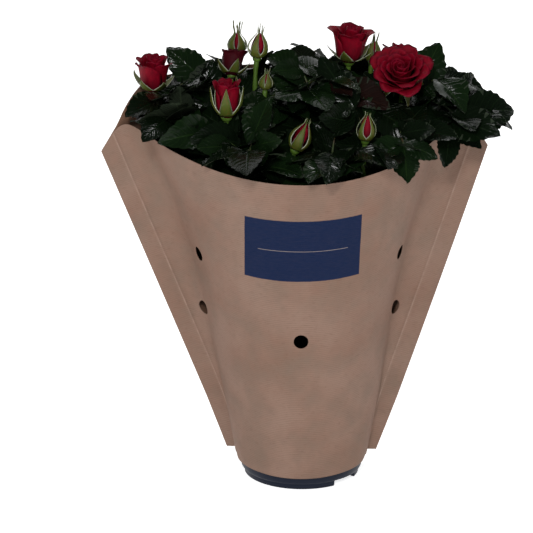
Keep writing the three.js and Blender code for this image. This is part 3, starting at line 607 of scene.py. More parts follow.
@dataclass
class Palette:
    """Every finished material of the plant, made once."""

    seam: Seam

    def __post_init__(self) -> None:
        """Builds all materials."""
        paper = KraftPaper()
        # painted shade: a darker copy of the kraft for the sleeve's inner faces
        shaded = KraftPaper(colour="#84624f", dark="#70513f")
        self.paper_printed = paper.material("kraft_printed", True, self.seam)
        self.paper_plain = paper.material("kraft_plain", False, self.seam)
        self.paper_inside_shaded = shaded.material("kraft_inside_shaded", False, self.seam)
        self.pot = MouldedPolypropylene().material()
        self.soil = PeatSubstrate().material()
        self.leaf_dark = RoseLeaf("leaf_dark_green", "#0b1609", "#070f07", "#1c2c17").material()
        self.leaf_fresh = RoseLeaf("leaf_mid_green", "#13230f", "#0c190b", "#293f1c").material()
        self.leaf_bronze = RoseLeaf("leaf_young_bronze", "#241311", "#16120d", "#3a231b", 0.24).material()
        self.leaf_under = RoseLeaf("leaf_underside", "#2c3527", "#252c22", "#48553c", 0.5).material()
        self.stem = GreenTissue("stem_green", "#4f6a26", "#5a3a24", 0.35).material()
        self.stalk = GreenTissue("leaf_stalk_green", "#39491f", "#4a2620", 0.45).material()
        self.pedicel = GreenTissue("flower_stalk_green", "#557428", "#47611f", 0.3, 0.4).material()
        self.cane = GreenTissue("cane_bark", "#46522a", "#5b4630", 0.6, 0.6).material()
        self.thorn = GreenTissue("thorn_red", "#6b3a2a", "#4a2a1c", 0.5, 0.4).material()
        self.sepal = Sepal().material()
        self.petal = VelvetPetal("petal_crimson", "#86001c", "#38000e", "#6e001f").material()
        # painted shade: a darker copy of the crimson for a bloom that sits in shadow deep in the crown
        self.petal_in_shade = VelvetPetal("petal_crimson_in_shade", "#4a0412", "#2a020b", "#380610").material()
        self.backdrop = StudioSweep().material()


# ---------------- pot and soil


def turned(profile: Sequence[tuple[float, float]], sides: int) -> Array:
    """Surface of revolution, (pairs, sides, 3): (r cos a, r sin a, z) for each radius and height pair."""
    pairs = np.array(profile, float)
    angle = np.arange(sides) * 2 * math.pi / sides
    r, z = pairs[:, :1], pairs[:, 1:]
    return np.stack([r * np.cos(angle), r * np.sin(angle), np.broadcast_to(z, (len(pairs), sides))], -1)


@dataclass
class NurseryPot:
    """Tapered 13 cm pot with a rim band, a rounded heel and a foot ring with gaps."""

    height: float = 114
    rim_radius: float = 64
    rim_foot: float = 62
    rim_band: float = 14
    body_top: float = 59.8
    body_foot: float = 47.2
    body_low: float = 8
    heel: float = 46.3
    foot: float = 45
    foot_width: float = 4.4
    foot_height: float = 4.6
    pad: float = 9
    wall: float = 1.5
    floor: float = 2
    gaps: tuple[float, ...] = (51, 157, -96)
    gap_width: float = 25
    drain_radius: float = 4
    drain_circle: float = 24
    drains: int = 6
    sides: int = 120

    def build(self, palette: Palette) -> None:
        """Turns the shell, cuts the foot gaps and drains, and replaces the plain pot."""
        floor_top = self.foot_height + self.floor
        band = self.height - self.rim_band
        profile = [
            (0, 0), (self.pad - 0.4, 0), (self.pad, 0.3), (self.pad + 1, self.foot_height),
            (self.foot - self.foot_width - 0.6, self.foot_height), (self.foot - self.foot_width, 0.4),
            (self.foot - self.foot_width + 0.4, 0), (self.foot - 0.9, 0), (self.foot - 0.4, 0.4),
            (self.foot, self.foot_height - 0.5), (self.foot + 0.5, self.foot_height),
            (self.heel, self.foot_height + 0.4), (self.heel + 0.6, self.foot_height + 1.4),
            (self.body_foot, self.body_low),
            (self.body_top, band - 0.6), (self.body_top + 1.6, band - 0.2), (self.rim_foot, band + 0.4),
            (self.rim_radius - 0.1, self.height - 1.2), (self.rim_radius - 0.35, self.height - 0.3),
            (self.rim_radius - 0.8, self.height), (self.rim_radius - self.wall, self.height - 0.6),
            (self.rim_foot - self.wall, band + 1), (self.body_top - self.wall, band - 1),
            (self.body_foot - self.wall, floor_top + 2), (self.heel - self.wall - 1, floor_top),
            (0, floor_top),
        ]  # fmt: skip
        builder = MeshBuilder()
        builder.add(turned(profile, self.sides), wrap=True)
        pot = builder.build("nursery_pot", [palette.pot], "pot")
        cutters = [self.gap_cutter(angle) for angle in self.gaps]
        cutters += [self.drain_cutter(k, floor_top) for k in range(self.drains)]
        subtract(pot, cutters)
        crease_edges(pot, 35)
        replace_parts(pot, "pot")

    def gap_cutter(self, degrees: float) -> Piece:
        """Box that cuts one gap in the foot ring."""
        angle = math.radians(degrees)
        radius = self.foot - self.foot_width / 2
        return box_cutter(
            (radius * math.sin(angle), -radius * math.cos(angle), 0),
            (self.gap_width, 3 * self.foot_width, 2 * self.foot_height),
            angle,
        )

    def drain_cutter(self, number: int, floor_top: float) -> Piece:
        """Upright cylinder that cuts one drain hole."""
        angle = 2 * math.pi * (number + 0.5) / self.drains
        at = np.array([self.drain_circle * math.sin(angle), self.drain_circle * math.cos(angle), floor_top])
        return rod_cutter(at, UP, self.drain_radius, 1.5 * floor_top)


def box_cutter(centre: Triple, size: Triple, angle: float) -> Piece:
    """Plain box for a cut, turned about Z."""
    mesh = bpy.data.meshes.new("cutter")
    work = bmesh.new()
    bmesh.ops.create_cube(work, size=1)
    corners = np.array([v.co for v in work.verts]) * size
    c, s = math.cos(angle), math.sin(angle)
    turn = np.array([[c, s, 0], [-s, c, 0], [0, 0, 1]])
    for vertex, place in zip(work.verts, (corners @ turn + centre) * MM):
        vertex.co = place
    work.to_mesh(mesh)
    work.free()
    return bpy.data.objects.new("cutter", mesh)


def rod_cutter(centre: Array, axis: Array, radius: float, reach: float) -> Piece:
    """Round rod for a cut, through centre along axis."""
    path = np.stack([centre - reach * axis, centre, centre + reach * axis])[None]
    grid = tube(path, np.full(3, radius), 32)[0]
    builder = MeshBuilder()
    builder.add(grid, wrap=True)
    points, faces = builder.points[0] * MM, builder.faces[0]
    mesh = bpy.data.meshes.new("cutter")
    mesh.from_pydata(points.tolist(), [], faces.tolist())
    weld(mesh)
    face_outwards(mesh)
    return bpy.data.objects.new("cutter", mesh)


def subtract(piece: Piece, cutters: Sequence[Piece]) -> None:
    """Cuts solids out of a piece with applied booleans and removes the cutters."""
    collection = bpy.data.collections.new("cutters")
    bpy.context.scene.collection.children.link(collection)
    for cutter in cutters:
        collection.objects.link(cutter)
    cut = piece.modifiers.new("cut", "BOOLEAN")
    cut.operation = "DIFFERENCE"
    cut.operand_type = "COLLECTION"
    cut.collection = collection
    cut.solver = "EXACT"
    apply_modifiers(piece)
    for cutter in cutters:
        mesh = cutter.data
        bpy.data.objects.remove(cutter)
        bpy.data.meshes.remove(mesh)
    bpy.data.collections.remove(collection)


def apply_modifiers(piece: Piece) -> None:
    """Bakes a piece's modifiers into its mesh."""
    evaluated = piece.evaluated_get(bpy.context.evaluated_depsgraph_get())
    mesh = bpy.data.meshes.new_from_object(evaluated)
    old = piece.data
    piece.modifiers.clear()
    piece.data = mesh
    mesh.name = piece.name
    bpy.data.meshes.remove(old)


def crease_edges(piece: Piece, degrees: float) -> None:
    """Shades a piece smooth except over edges sharper than an angle."""
    piece.data.polygons.foreach_set("use_smooth", np.ones(len(piece.data.polygons), bool))
    piece.data.set_sharp_from_angle(angle=math.radians(degrees))


@dataclass
class PottingSoil:
    """Peat fill with an uneven crumbly top."""

    pot: NurseryPot
    top: float = 100
    clearance: float = 0.7
    rings: int = 60
    sides: int = 160

    def build(self, palette: Palette) -> None:
        """Builds the fill: a cone frustum whose top is raised and lowered by noise."""
        pot = self.pot
        floor = pot.foot_height + pot.floor + 0.4

        def radius_at(z: float) -> float:
            """Radius of the fill at a height, a little less than the pot's inside."""
            share = (z - pot.body_low) / (pot.height - pot.rim_band - pot.body_low)
            return lerp(pot.body_foot, pot.body_top, share) - pot.wall - self.clearance

        rim = radius_at(self.top - 3) - 0.5
        shares = np.linspace(1, 0, self.rings)
        profile = [(0, floor), (radius_at(floor) - 2, floor), (radius_at(floor + 4), floor + 4)]
        profile += [(radius_at(z), z) for z in np.linspace(30, self.top - 4, 6)]
        profile += [(rim * s, self.top - 1.6 - 1.2 * s**6) for s in shares]
        grid = turned(profile, self.sides)
        surface = grid[-self.rings :]
        lumps = 1.1 * waves(surface, 14, 5, 4) + 0.6 * waves(surface, 4, 6, 3)
        surface[..., 2] += np.minimum(lumps, 1.3) * (1 - shares[:, None] ** 8)
        surface[-1] = surface[-1].mean(0)
        builder = MeshBuilder()
        builder.add(grid, wrap=True)
        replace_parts(builder.build("potting_soil_top", [palette.soil], "potting_soil"), "potting_soil")


# ---------------- paper sleeve


class Side(Enum):
    """The two panels of the sleeve, by the sign of their depth."""

    FRONT = -1
    BACK = 1


@dataclass
class PaperSleeve:
    """Two kraft panels glued along flat side flanges, wide and open at the top, narrow round the pot."""

    seam_gap: float = 0.3
    paper: float = 0.5
    lift: float = 0.35  # the paper lies this far outside the line of its flange
    bottom: float = 10.8
    flange_bottom: float = 17.6
    tip_height: float = 258
    tip_half: float = 146
    bottom_half: float = 58.4
    bottom_depth: float = 49.2
    depth_slope: float = 0.1596
    crease_foot: float = 48
    crease_slope: float = 0.22
    crease_curve: float = 0.00033
    shoulder: float = 1.6
    front_dip: float = 251.6
    front_rise: float = 0.00185
    back_top: float = 303.5
    corner: float = 5
    lean_from: float = 60
    lean: float = -0.027
    yaw_bottom: float = -2.5
    yaw_top: float = 5
    pot_height: float = 114
    flange_share: float = 0.16
    columns: int = 200
    rows: int = 90
    vent_radius: float = 5.5
    vents: tuple[tuple[float, float], ...] = ((0, 127), (-75, 184), (75, 184), (-71, 135), (71, 135))
    back_vents: int = 3
    seam_width: float = 14.5
    seam_ridge: float = 0.5
    seam_slack: float = 1.4
    # across, height, half length, half width, slope and depth of each soft fold, in millimetres
    folds: tuple[tuple[float, ...], ...] = (
        (-60, 236, 13, 1.3, -0.65, 0.5),
        (-57, 232, 14, 3.0, -0.65, -0.5),
        (67, 228, 9, 1.1, 0.35, 0.45),
        (70, 224, 12, 3.0, 0.35, -0.4),
        (-46, 100, 26, 6.0, 1.2, 0.45),
        (30, 150, 34, 11.0, -0.9, 0.35),
        (-20, 238, 30, 9.0, 0.1, 0.4),
        (-62, 156, 20, 2.2, 1.6, -0.4),
        (60, 110, 20, 5.0, -1.3, 0.4),
        (72, 190, 20, 2.0, -1.8, 0.4),
    )

    def crease(self, z: Array) -> Array:
        """Half width of the body where it meets the flange: foot + slope z + curve z^2."""
        return self.crease_foot + self.crease_slope * z + self.crease_curve * z * z

    def depth(self, z: Array) -> Array:
        """Depth of the body at its middle line."""
        return self.bottom_depth + self.depth_slope * (z - self.bottom)

    def edge(self, z: Array) -> Array:
        """Half width at the flange's outer edge."""
        share = (z - self.flange_bottom) / (self.tip_height - self.flange_bottom)
        return self.bottom_half + (self.tip_half - self.bottom_half) * share

    def arcs(self, z: Array) -> tuple[Array, Array, Array, Array, Array]:
        """Section at height z: a wide arc round the front and a small one that turns back into the flange.

        Returns:
            Crease half width, depth, turn angle, wide radius and small radius.
        """
        crease, depth = self.crease(z), self.depth(z)
        turn = 2 * np.arctan(depth / crease)
        total = crease / np.sin(turn)
        wide = np.minimum(depth + 0.3 + 0.001 * np.maximum(0, z - self.pot_height) ** 2, 0.97 * total)
        return crease, depth, turn, wide, total - wide

    def paper_depth(self, x: Array, z: Array) -> Array:
        """Depth of the paper in front of the seam line at distance x from the middle."""
        crease, depth, turn, wide, small = self.arcs(z)
        x = np.abs(x)
        round_front = depth - wide + np.sqrt(np.maximum(0, wide**2 - x**2))
        fillet = small - np.sqrt(np.maximum(0, small**2 - (crease - x) ** 2))
        return np.where(x >= crease, 0, np.where(x <= wide * np.sin(turn), round_front, fillet))

    def paper_top(self, x: Array, side: Array) -> Array:
        """Height of the upper edge: the lower of the corner cut and the middle cut, softly joined."""
        cut = self.tip_height + self.shoulder * (self.tip_half - np.abs(x))
        middle = np.where(side < 0, self.front_dip + self.front_rise * x * x, self.back_top)
        h = np.maximum(0, 1 - np.abs(cut - middle) / (4 * self.corner))
        return np.minimum(cut, middle) - h * h * self.corner

    def yaw(self, z: Array) -> Array:
        """Turn of the seam line at height z, in radians."""
        share = (z - self.bottom) / (self.tip_height - self.bottom)
        return np.radians(self.yaw_bottom + (self.yaw_top - self.yaw_bottom) * share)

    def placed(self, x: Array, y: Array, z: Array) -> Array:
        """Turns and leans a point of the straight sleeve to where it is on the plant."""
        yaw = self.yaw(z)
        shift = self.lean * np.maximum(0, z - self.lean_from)
        return np.stack([x * np.cos(yaw) - y * np.sin(yaw) + shift, x * np.sin(yaw) + y * np.cos(yaw), z], -1)

    def straightened(self, points: Array) -> Array:
        """Undoes placed."""
        z = points[..., 2]
        yaw = -self.yaw(z)
        x = points[..., 0] - self.lean * np.maximum(0, z - self.lean_from)
        y = points[..., 1]
        return np.stack([x * np.cos(yaw) - y * np.sin(yaw), x * np.sin(yaw) + y * np.cos(yaw), z], -1)

    def panel(self, side: Side, u: Array, z: Array, lift: Array) -> tuple[Array, Array]:
        """Points of a panel.

        Args:
            side: which panel.
            u: -1 at one outer edge to 1 at the other.
            z: heights.
            lift: distance off the paper's inner line.
        Returns:
            Points and their distance from the middle line along the sheet.
        """
        crease, depth, turn, wide, small = self.arcs(z)
        body = np.minimum(1, np.abs(u) / (1 - self.flange_share))
        run = body * turn * (wide + small)
        in_wide = run <= turn * wide
        angle = np.where(in_wide, run / wide, np.maximum(0, turn - (run - turn * wide) / small))
        x = np.where(in_wide, wide * np.sin(angle), crease - small * np.sin(angle))
        y = np.where(in_wide, depth - wide * (1 - np.cos(angle)), small * (1 - np.cos(angle)))
        x, y = x + lift * np.sin(angle), y + lift * np.cos(angle)
        out = (np.abs(u) - (1 - self.flange_share)) / self.flange_share
        flat = body >= 1
        x = np.where(flat, crease + (self.edge(z) - crease) * out, x)
        y = np.where(flat, lift, y)
        along = run + np.where(flat, (self.edge(z) - crease) * np.maximum(0, out), 0)
        return self.placed(np.sign(u) * x, side.value * y, z), np.sign(u) * along

    def seam(self) -> Seam:
        """Fits the sheet distance of the outer edge: the run round both arcs plus the flat flange."""
        z = np.linspace(self.flange_bottom, self.tip_height, 40)
        crease, _, turn, wide, small = self.arcs(z)
        edge = turn * (wide + small) + self.edge(z) - crease
        return Seam(self.seam_width, tuple(float(c) for c in np.polyfit(z, edge, 2)))

    def lower_edge(self, u: Array) -> Array:
        """Height of the lower edge along column u."""
        return lerp(self.bottom, self.flange_bottom, np.minimum(1, np.abs(u) / (1 - self.flange_share)) ** 2)

    def upper_edge(self, side: Side, u: Array) -> Array:
        """Height of the upper edge along column u, by steps towards the cut line."""
        z = np.full_like(u, self.tip_height)
        for _ in range(40):
            x = self.straightened(self.panel(side, u, z, 0 * u)[0])[..., 0]
            z = lerp(z, self.paper_top(x, np.full_like(u, side.value)), 0.6)
        return z

    def relief(self, side: Side, along: Array, z: Array) -> Array:
        """Folds and slack of the paper: long Gaussian ridges plus slow waves, none at the pot."""
        place = np.stack([along, z, np.full_like(z, 40.0 * side.value)], -1)
        free = smoothstep(z, 105, 150)
        total = 0.6 * waves(place, 80, 21, 3) * free
        for across, height, length, width, slope, depth in self.folds:
            dx, dz = along * -side.value - across, z - height
            c, s = math.cos(math.atan(slope)), math.sin(math.atan(slope))
            a, b = c * dx + s * dz, -s * dx + c * dz
            total = total + depth * np.exp(-((a / length) ** 2) - (b / width) ** 2) * free
        return total

    def build(self, palette: Palette) -> None:
        """Builds both panels, front printed and back plain."""
        printed = [palette.paper_printed, palette.paper_inside_shaded]
        plain = [palette.paper_plain, palette.paper_inside_shaded]
        self.build_panel(Side.FRONT, "kraft_front", printed, "sleeve_front")
        self.build_panel(Side.BACK, "kraft_back", plain, "sleeve_back")

    def build_panel(
        self, side: Side, name: str, materials: Sequence[Material], node: str
    ) -> None:
        """Builds one panel as a closed sheet, with its punched holes.

        Args:
            side: which panel.
            name: the piece's name.
            materials: the outside material and a darker inside copy, which is painted shade.
            node: the plain solid that it replaces.
        """
        inner = np.linspace(-1, 1, self.columns) * (1 - self.flange_share)
        wing = np.linspace(1 - self.flange_share, 1, 34)[1:]
        u = np.concatenate([-wing[::-1], inner, wing])
        share = np.linspace(0, 1, self.rows)[:, None]
        z = lerp(self.lower_edge(u), self.upper_edge(side, u), share)
        u = np.broadcast_to(u, z.shape)
        near = self.seam_gap / 2 + 0.05
        body = smoothstep(1 - np.abs(u) / (1 - self.flange_share), 0.0, 0.06)
        _, along = self.panel(side, u, z, 0 * z)
        rise = near + (self.lift - near) * body + self.relief(side, along, z) * body
        inwards = np.polyval(self.seam().edge_fit, z) - np.abs(along) - self.seam_width
        slack = self.seam_slack * smoothstep(inwards, 0, 16) * (1 - smoothstep(inwards, 16, 45))
        rise = np.maximum(rise, near) + self.seam_ridge * np.exp(-((inwards / 1.1) ** 2)) + slack
        outer, _ = self.panel(side, u, z, rise + self.paper)
        inside, _ = self.panel(side, u, z, rise)
        uv = np.stack([along / SHEET_MM + 0.5, z / SHEET_MM], -1)
        if side is Side.BACK:
            outer, inside, uv = outer[:, ::-1], inside[:, ::-1], uv[:, ::-1]
        # The section runs along the outside and back along the inside; a folded row closes each end.
        ring = np.concatenate([outer, inside[:, ::-1]], 1)
        ring_uv = np.concatenate([uv, uv[:, ::-1]], 1)
        width = outer.shape[1]
        outside = (np.arange(2 * width) < width)[None, :, None]
        low = np.where(outside, ring[:1, ::-1], ring[:1])
        high = np.where(outside, ring[-1:, ::-1], ring[-1:])
        grid = np.concatenate([low, ring, high])
        grid_uv = np.concatenate([ring_uv[:1], ring_uv, ring_uv[-1:]])
        slots = np.concatenate([np.zeros(width, int), np.ones(width, int)])
        builder = MeshBuilder()
        builder.add(grid, grid_uv, wrap=True, slots=slots)
        panel = builder.build(name, materials, "kraft_paper")
        vents = self.vents if side is Side.FRONT else self.vents[: self.back_vents]
        subtract(panel, [self.punch(side, x, height) for x, height in vents])
        crease_edges(panel, 50)
        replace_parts(panel, node)

    def punch(self, side: Side, x: float, z: float) -> Piece:
        """Rod that punches one vent hole square to the paper."""
        slope = float(self.paper_depth(x + 1.0, z) - self.paper_depth(x - 1.0, z)) / 2
        out = unit(np.array([-slope, 1.0]))
        depth = float(self.paper_depth(float(x), z))
        at = self.placed(np.float64(x), np.float64(side.value * depth), np.float64(z))
        ahead = self.placed(np.float64(x + out[0]), np.float64(side.value * (depth + out[1])), np.float64(z))
        return rod_cutter(at, unit(ahead - at), self.vent_radius, 4.0)


# ---------------- the plant's plan


class Bloom(Enum):
    """How far a flower has opened."""

    OPEN = "open"
    CUP = "cup"
    BUD = "bud"


@dataclass(frozen=True)
class Flower:
    """One flower or bud: foot of its head, lean of its axis, size and how it looks."""

    bloom: Bloom
    at: Triple
    lean: tuple[float, float]
    size: float
    spread: float = 0.5  # how wide the head is for its height
    leafy: float = 0.3  # length of the sepals' free tips, as a share of the size
    turn: float = 0.0  # of the sepals about the axis, in degrees
    # dark gives the petals the darker crimson copy, as painted shade for a bloom in shadow
    clasp: float = 0.5  # how far up a cup its sepals reach; a bud with more shows more petal
    dark: bool = False

    def axis(self) -> Array:
        """Unit direction of the head."""
        return unit(np.array([*self.lean, 1.0]))

    def stem(self) -> Array:
        """Control points of the flower's own stem: it starts bent half way back to upright."""
        foot, axis = np.array(self.at), self.axis()
        start = foot - FLOWER_STEM_LENGTH * unit(lerp(axis, UP, 0.6))
        return np.stack([start, foot - 0.45 * FLOWER_STEM_LENGTH * axis, foot])


FLOWER_STEM_LENGTH = 26.0
FLOWER_STEM_RADIUS = 1.75
CUP, BUD, OPEN = Bloom.CUP, Bloom.BUD, Bloom.OPEN
FLOWERS = {
    "cup_left": Flower(CUP, (-112, 0, 301), (0.05, -0.1), 28, 0.7, 0.12, 20, clasp=0.36),
    "cup_front_left": Flower(CUP, (-56, -36, 289), (0.02, -0.12), 28, 0.26, 0.3, 54, clasp=0.78),
    "bud_long_sepals": Flower(BUD, (-50, 34, 322), (0, 0), 18, 0.38, 0.5, 10, clasp=0.7),
    # a bloom in shadow at the back, painted in the darker crimson as shade
    "dark_back_left": Flower(CUP, (-54, 12, 310), (0.1, 0.5), 21, 0.6, 0.1, dark=True),
    "bud_centre": Flower(BUD, (-34.5, -2, 326), (0.12, -0.05), 21, 0.34, 0.3, 36, clasp=0.9),
    "bud_small_centre": Flower(BUD, (-28, -18, 306), (0.1, -0.1), 13, 0.36, 0.3, 12),
    "bud_front": Flower(BUD, (-6, -52, 268), (0.42, -0.1), 24, 0.31, 0.12, 50, clasp=0.8),
    "bud_front_right": Flower(BUD, (45.5, -52, 275), (0.08, -0.08), 21, 0.31, 0.12, 20, clasp=1.1),
    "open_right": Flower(OPEN, (73, -3, 308), (-0.08, -0.85), 49),
    "cup_back_right": Flower(CUP, (34.5, 18, 320), (0.1, -0.1), 29, 0.75, 0.12, 40, clasp=0.36),
    "bud_small_right": Flower(BUD, (52, 34, 316), (0.12, 0), 18, 0.3, 0.35, 25),
    "cup_back": Flower(CUP, (70, 44, 300), (0.25, 0.4), 28, 0.5, 0.2, 0),
    "bud_back": Flower(BUD, (6, 62, 290), (0.05, 0.35), 23, 0.35, 0.3, 30),
    "bud_back_left": Flower(BUD, (-86, 36, 290), (-0.2, 0.3), 22, 0.35, 0.3, 5),
}


@dataclass(frozen=True)
class Shoot:
    """A limb that ends in a flower or at a leafy end."""

    end: str | Triple
    leaves: int

    def goal(self) -> Array:
        """Where the limb ends."""
        return FLOWERS[self.end].stem()[0] if isinstance(self.end, str) else np.array(self.end, float)


@dataclass(frozen=True)
class Mass:
    """A cane with its shoots; the first shoot goes on from the cane and the others leave it."""

    foot: tuple[float, float]
    seed: int
    shoots: tuple[Shoot, ...]
    reaches: tuple[Triple, ...]


S = Shoot
MASSES = {
    "left": Mass(
        (-34, 0), 11,
        (S("cup_left", 8), S((-92, -26, 282), 7), S((-82, 8, 306), 8), S("bud_back_left", 7)),
        ((-122, -6, 290), (-104, 14, 330)),
    ),
    "front_left": Mass(
        (-17, -31), 23,
        (S("cup_front_left", 8), S("bud_front", 8), S((-38, -62, 266), 7)),
        ((-78, -58, 292),),
    ),
    "front_right": Mass(
        (20, -30), 37,
        (S("bud_front_right", 8), S((72, -44, 276), 7), S((20, -60, 268), 7)),
        ((76, -82, 258),),
    ),
    "right": Mass(
        (36, 2), 41,
        (S("open_right", 8), S((112, -12, 284), 7), S((94, 14, 308), 8), S("cup_back", 7)),
        ((162, -6, 293), (104, -50, 272), (104, 6, 334)),
    ),
    "centre": Mass(
        (2, 2), 59,
        (S("bud_centre", 7), S("bud_small_centre", 7), S((6, -12, 312), 7), S("cup_back_right", 7),
         S("bud_small_right", 7)),
        ((20, 10, 332), (-16, 14, 334)),
    ),
    "back": Mass(
        (-4, 34), 67,
        (S("bud_long_sepals", 7), S("dark_back_left", 6), S("bud_back", 7), S((-46, 66, 294), 7),
         S((42, 68, 296), 7)),
        ((-84, 58, 322),),
    ),
}  # fmt: skip
# tips of the young leaves that stand highest or furthest out
SPRAYS = (
    (-102, 16, 332), (-84, -6, 312), (-68, 10, 324), (-46, 16, 316), (14, -16, 333), (36, 8, 322),
    (101, 14, 336), (162, -4, 292), (-116, -20, 294), (66, -62, 268), (6, -50, 276), (88, -50, 280),
)  # fmt: skip
# places of the young maroon leaves, and how far they spread
YOUNG_PLACES = ((20, -12, 300), (-52, 6, 312), (60, 30, 300))
YOUNG_REACH = 13
SPRAY_SIZES = (48.0, 42.0, 36.0)
SPRAY_MISS = 5.0  # a spray's tip ends at most this far from its place
SOIL_TOP = 100.3
FORK = 0.34  # share of the first shoot's curve where the cane ends and the green shoot starts
STEPS = 3
GOLDEN_ANGLE = math.pi * (3 - math.sqrt(5))
CANE_RADII = (2.9, 2.2)
SHOOT_RADII = (2.1, 1.7)


class RandomStream:
    """Seeded 32-bit congruential stream of numbers from 0 to 1."""

    def __init__(self, seed: int) -> None:
        """Starts the stream."""
        self.state = (seed * 2654435761) & 0xFFFFFFFF

    def __call__(self) -> float:
        """Next number."""
        self.state = (self.state * 1664525 + 1013904223) & 0xFFFFFFFF
        return self.state / 2**32


@dataclass
class Leaves:
    """Compound leaves as arrays: a stalk curve each, and up to five leaflets with place and directions."""

    curve: Array
    at: Array
    heading: Array
    normal: Array
    length: Array
    kept: Array

    WIDTH = 0.64
    FOLD = 0.16
    CURL = 0.16
    FIELDS = ("curve", "at", "heading", "normal", "length", "kept")

    @classmethod
    def grown(
        cls, at: Array, heading: Array, stalk: Array, size: Array, pairs: Array, roll: Array,
        droop: float = 0.34,
    ) -> "Leaves":  # fmt: skip
        """Lays leaflets along stalks that arch over: one at the end and pairs at set places.

        Args:
            at: feet of the stalks, (n, 3).
            heading: unit directions in which they leave, (n, 3).
            stalk: their lengths.
            size: lengths of the end leaflets.
            pairs: pairs of side leaflets, 1 or 2.
            roll: tilt of the blades to one side.
            droop: how far the stalk's end hangs, as a share of its length.
        Returns:
            The leaves.
        """
        n = len(stalk)
        bow = at + 0.55 * stalk[:, None] * heading
        end = at + stalk[:, None] * heading - droop * stalk[:, None] * UP
        curve = np.stack([at, bow, end], 1)
        turn = np.radians([0, 64, -64, 64, -64])
        t = np.array([1, 0.74, 0.74, 0.32, 0.32])
        scale = np.array([1, 0.88, 0.88, 0.7, 0.7])
        curves = np.broadcast_to(curve[:, None], (n, 5, 3, 3))
        shares = np.broadcast_to(t, (n, 5))
        point, tangent = bezier(curves, shares), bezier_tangent(curves, shares)
        side = unit(np.cross(tangent, UP))
        normal = unit(np.cross(side, tangent))
        direction = unit(tangent * np.cos(turn)[:, None] + side * np.sin(turn)[:, None] - 0.12 * UP)
        tilted = normal + side * (roll[:, None] + 0.22 * np.sin(turn))[..., None]
        square = unit(tilted - dot(tilted, direction) * direction)
        kept = np.ones((n, 5), bool)
        kept[:, 3:] = (np.broadcast_to(pairs, n) > 1)[:, None]
        return cls(curve, point, direction, square, size[:, None] * scale, kept)

    def __getitem__(self, pick: Array | slice) -> "Leaves":
        """Some of the leaves."""
        return Leaves(*[getattr(self, name)[pick] for name in self.FIELDS])

    @classmethod
    def joined(cls, sets: Sequence["Leaves"]) -> "Leaves":
        """All leaves of several sets."""
        return cls(*[np.concatenate([getattr(leaves, name) for leaves in sets]) for name in cls.FIELDS])

    @staticmethod
    def half_width(v: Array) -> Array:
        """Half width of a leaflet at share v of its length, over its full width."""
        return 0.5 * np.maximum(np.sin(math.pi * np.clip(v, 0, 1) ** 0.82), 0) ** 0.85

    def blade_probes(self) -> Array:
        """Points on the spine and edges of every leaflet, (n, 5, 14, 3)."""
        places = [(v, w) for v in (0.15, 0.4, 0.65, 0.85) for w in (-1, 0, 1)] + [(1, 0), (0.03, 0)]
        v, w = np.array(places).T
        side = unit(np.cross(self.heading, self.normal))
        length = self.length[..., None]
        half = self.half_width(v) * self.WIDTH * length
        rise = self.FOLD * half * np.abs(w) - self.CURL * length * v * v
        return (
            self.at[..., None, :]
            + self.heading[..., None, :] * (length * v)[..., None]
            + side[..., None, :] * (half * w)[..., None]
            + self.normal[..., None, :] * rise[..., None]
        )

    def stalk_probes(self) -> Array:
        """Points along every stalk, (n, 13, 3)."""
        shares = 0.16 + 0.07 * np.arange(13)
        return bezier(self.curve[:, None], np.broadcast_to(shares, (len(self.curve), 13)))


def squared_distances(points: Array, cloud: Array) -> Array:
    """Squared distance from each point to each of a cloud."""
    return np.sum(points**2, 1)[:, None] + np.sum(cloud**2, 1) - 2 * points @ cloud.T


def nearest_squared(points: Array, cloud: Array) -> Array:
    """Squared distance from each point to the closest of a cloud."""
    return squared_distances(points, cloud).min(1) if len(cloud) else np.full(len(points), np.inf)


